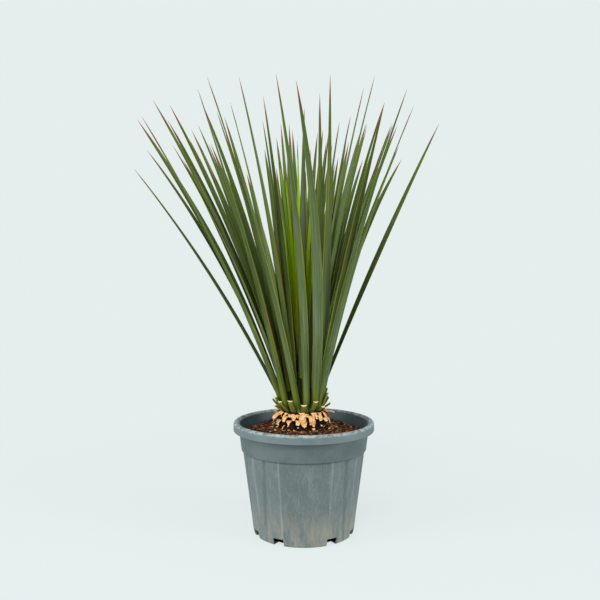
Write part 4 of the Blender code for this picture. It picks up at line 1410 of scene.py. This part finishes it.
soil_bed = turned("soil_bed", soil_section(), 300, soil_bumps)
shift_hole(soil_bed)
finish_piece(soil_bed, "soil", soil_material())

# %% [markdown]
# Several kinds of crumb lie on the bed: fine peat, bark, a few pale bits, and round the stump more
# chips and the straw that fell off the dry bases. They share a tree whose inputs are the spacing, the
# size, the flatness, the rounding and the material. The peat has thousands of crumbs, so each is
# rounded one step less and has only 20 faces. The fixed seed gives the same scatter each time.

# %% Crumb tree and scatter
SHADE_SEED = 77


def crumb_tree():
    """Scatter lumps over a surface."""
    tree = GeometryTree("crumbs", {
        "Spacing": 0.0016, "Density": 300000.0, "Smallest": 0.0006, "Largest": 0.0020,
        "Flatness": 0.7, "Length": 1.0, "Rounding": 2, "Seed": 1, "Skin": None})
    given = tree.given

    def drawn(low, high, seed, kind="FLOAT"):
        ends = (0, 1) if kind == "FLOAT_VECTOR" else (2, 3)
        return tree.add("FunctionNodeRandomValue", {ends[0]: low, ends[1]: high, "Seed": seed},
                        output=0 if kind == "FLOAT_VECTOR" else 1, data_type=kind)

    points = tree.add("GeometryNodeDistributePointsOnFaces",
                      {"Mesh": given["Geometry"], "Distance Min": given["Spacing"],
                       "Density Max": given["Density"], "Seed": given["Seed"]},
                      distribute_method="POISSON")
    lump = tree.add("GeometryNodeMeshIcoSphere", {"Radius": 1.0, "Subdivisions": given["Rounding"]})
    lump = tree.moved(lump, Offset=tree.wander(1.6, 1.0, 2.2))
    size = drawn(given["Smallest"], given["Largest"], given["Seed"])
    turn = drawn((-0.6, -0.6, 0.0), (0.6, 0.6, math.tau), given["Seed"], "FLOAT_VECTOR")
    shape = tree.scaled(tree.vector(given["Length"], 1.0, given["Flatness"]), size)
    crumbs = tree.add("GeometryNodeInstanceOnPoints",
                      {"Points": points, "Instance": lump, "Rotation": turn, "Scale": shape})
    crumbs = tree.keep(crumbs, "shade", drawn(0.0, 1.0, SHADE_SEED), domain="INSTANCE")
    tree.add("NodeGroupOutput", {0: tree.skinned(crumbs, False)})
    return tree


def crumb_material(name, stops):
    """Crumbs that differ from one to the next, each a little mottled."""
    skin = Skin(name, 0.9, 0.2)
    mottle = skin.noise(skin.coordinates(), 900.0, 3.0)
    mixed = skin.line(mottle, 0.5, skin.line(skin.attribute("shade"), 0.75, -0.12))
    return skin.finish(skin.ramp(mixed, stops), mottle, 0.0006)


def soil_surface(reach):
    """The top faces of the soil bed within a reach of the axis, as the ground for a scatter."""
    mesh = soil_bed.data
    faces = [tuple(face.vertices) for face in mesh.polygons
             if face.normal.z > 0.5 and face.center.z > SOIL_EDGE_HEIGHT - 0.004
             and math.hypot(face.center.x, face.center.y) < reach]
    return [tuple(vertex.co) for vertex in mesh.vertices], faces


CRUMBS = crumb_tree()
PEAT = ((0.0, (5, 3, 2)), (0.42, (38, 20, 11)), (0.68, (96, 56, 30)), (1.0, (178, 116, 70)))
BARK = ((0.0, (6, 5, 6)), (0.5, (22, 17, 16)), (1.0, (60, 44, 36)))
PALE = ((0.0, (96, 84, 76)), (0.5, (168, 140, 112)), (1.0, (226, 214, 196)))
STRAW = ((0.0, (104, 62, 30)), (0.5, (196, 142, 86)), (1.0, (246, 212, 164)))
WHOLE_BED = SOIL_EDGE - 0.004
ROUND_STUMP = 0.0620
for name, stops, reach, values in (
    ("soil_crumbs", PEAT, WHOLE_BED,
     {"Spacing": 0.0021, "Smallest": 0.0008, "Largest": 0.0025, "Rounding": 1, "Seed": 3}),
    ("soil_bark", BARK, WHOLE_BED,
     {"Spacing": 0.0080, "Density": 8000.0, "Smallest": 0.0016, "Largest": 0.0038,
      "Flatness": 0.45, "Length": 1.7, "Seed": 8}),
    ("soil_chips", BARK, ROUND_STUMP,
     {"Spacing": 0.0060, "Density": 16000.0, "Smallest": 0.0014, "Largest": 0.0032,
      "Flatness": 0.5, "Length": 1.6, "Seed": 12}),
    ("soil_pale_bits", PALE, WHOLE_BED,
     {"Spacing": 0.0120, "Density": 2600.0, "Smallest": 0.0008, "Largest": 0.0020,
      "Flatness": 0.6, "Length": 1.3, "Seed": 5}),
    ("soil_straw", STRAW, ROUND_STUMP,
     {"Spacing": 0.0040, "Density": 24000.0, "Smallest": 0.0010, "Largest": 0.0026,
      "Flatness": 0.4, "Length": 2.2, "Seed": 9}),
):
    points, faces = soil_surface(reach)
    crumbs = mesh_object(name, points, faces=faces)
    finish_piece(CRUMBS.run(crumbs, **values, Skin=crumb_material(name, stops)), "soil")

# %% [markdown]
# ## Floor and light
#
# The plant stands on a plain pale floor under soft studio light. The floor glows, as a lit table
# does, so that the lamps leave no bright pool on it, but under the pot the glow stops, a painted
# shadow which shows through the drain notches. It fades out within about a metre, so no horizon
# crosses the picture. One large lamp stands above the camera, weaker ones stand on both sides, and
# the pale surroundings fill the shadows.

# %% Floor
GROUND = (229, 238, 237)
FLOOR_RADIUS = 8.0
FLOOR_SIDES = 64
FLOOR_FADE = (0.25, 1.1)
FLOOR_LIT = 0.12
FLOOR_GLOW = 0.857


def make_floor():
    """A round pale floor that fades into the surroundings."""
    ring = [radial(math.tau * i / FLOOR_SIDES, FLOOR_RADIUS, 0.0) for i in range(FLOOR_SIDES)]
    floor = mesh_object("floor", ring, faces=[tuple(range(FLOOR_SIDES))])
    skin = Skin("floor", 0.9, 0.0)
    inputs = skin.shader.inputs
    inputs["Base Color"].default_value = [share * FLOOR_LIT for share in rgb(GROUND)[:3]] + [1]
    inputs["Emission Color"].default_value = rgb(GROUND)
    away = skin.vectors("LENGTH", skin.coordinates())
    # Painted shadow: the glow stops under the pot
    glow = skin.ease(away, FOOT_RADIUS - 0.015, FOOT_RADIUS - 0.012, 0.0, FLOOR_GLOW)
    skin.tree.links.new(glow, inputs["Emission Strength"])
    clear = skin.add("ShaderNodeBsdfTransparent")
    mixed = skin.add("ShaderNodeMixShader",
                     {0: skin.ease(away, *FLOOR_FADE), 1: skin.shader.outputs[0], 2: clear})
    skin.tree.links.new(mixed, skin.tree.nodes["Material Output"].inputs["Surface"])
    floor.data.materials.append(skin.material)


make_floor()
print("floor laid")

# %% Light
FILL = 0.52
LAMP_SIZE = 1.0

# For each lamp: its place, the height on the axis that it is aimed at, and its power in watts
LAMPS = {
    "key": ((-0.4, -1.9, 2.2), 0.35, 44.0),
    "left": ((-1.9, -0.9, 0.7), 0.50, 38.0),
    "right": ((1.9, -0.9, 0.7), 0.50, 35.0),
}


def area_light(name, place, aim_height, power):
    """A square soft lamp aimed at the plant's axis."""
    data = bpy.data.lights.new(name, "AREA")
    data.size = LAMP_SIZE
    data.energy = power
    lamp = bpy.data.objects.new(name, data)
    lamp.location = place
    way = Vector((0.0, 0.0, aim_height)) - Vector(place)
    lamp.rotation_euler = way.to_track_quat("-Z", "Y").to_euler()
    bpy.context.scene.collection.objects.link(lamp)


def make_surroundings():
    """A plain pale world that shows behind the plant, and lights it more weakly than it shows."""
    world = bpy.data.worlds.new("studio")
    bpy.context.scene.world = world
    world.use_nodes = True
    nodes = NodeTree(world.node_tree)
    background = nodes.tree.nodes["Background"]
    background.inputs["Color"].default_value = rgb(GROUND)
    seen = nodes.add("ShaderNodeLightPath", output="Is Camera Ray")
    nodes.tree.links.new(nodes.line(seen, 1.0 - FILL, FILL), background.inputs["Strength"])


make_surroundings()
for name, lamp in LAMPS.items():
    area_light(name, *lamp)
bpy.context.scene.view_settings.view_transform = "Standard"
print("lights:", [obj.name for obj in bpy.context.scene.objects if obj.type == "LIGHT"])

# %% [markdown]
# ## Last count
#
# The script prints how many pieces it made. The finer pieces must stay within the model's
# box.

# %% Count of pieces
print(len(made), "pieces made")
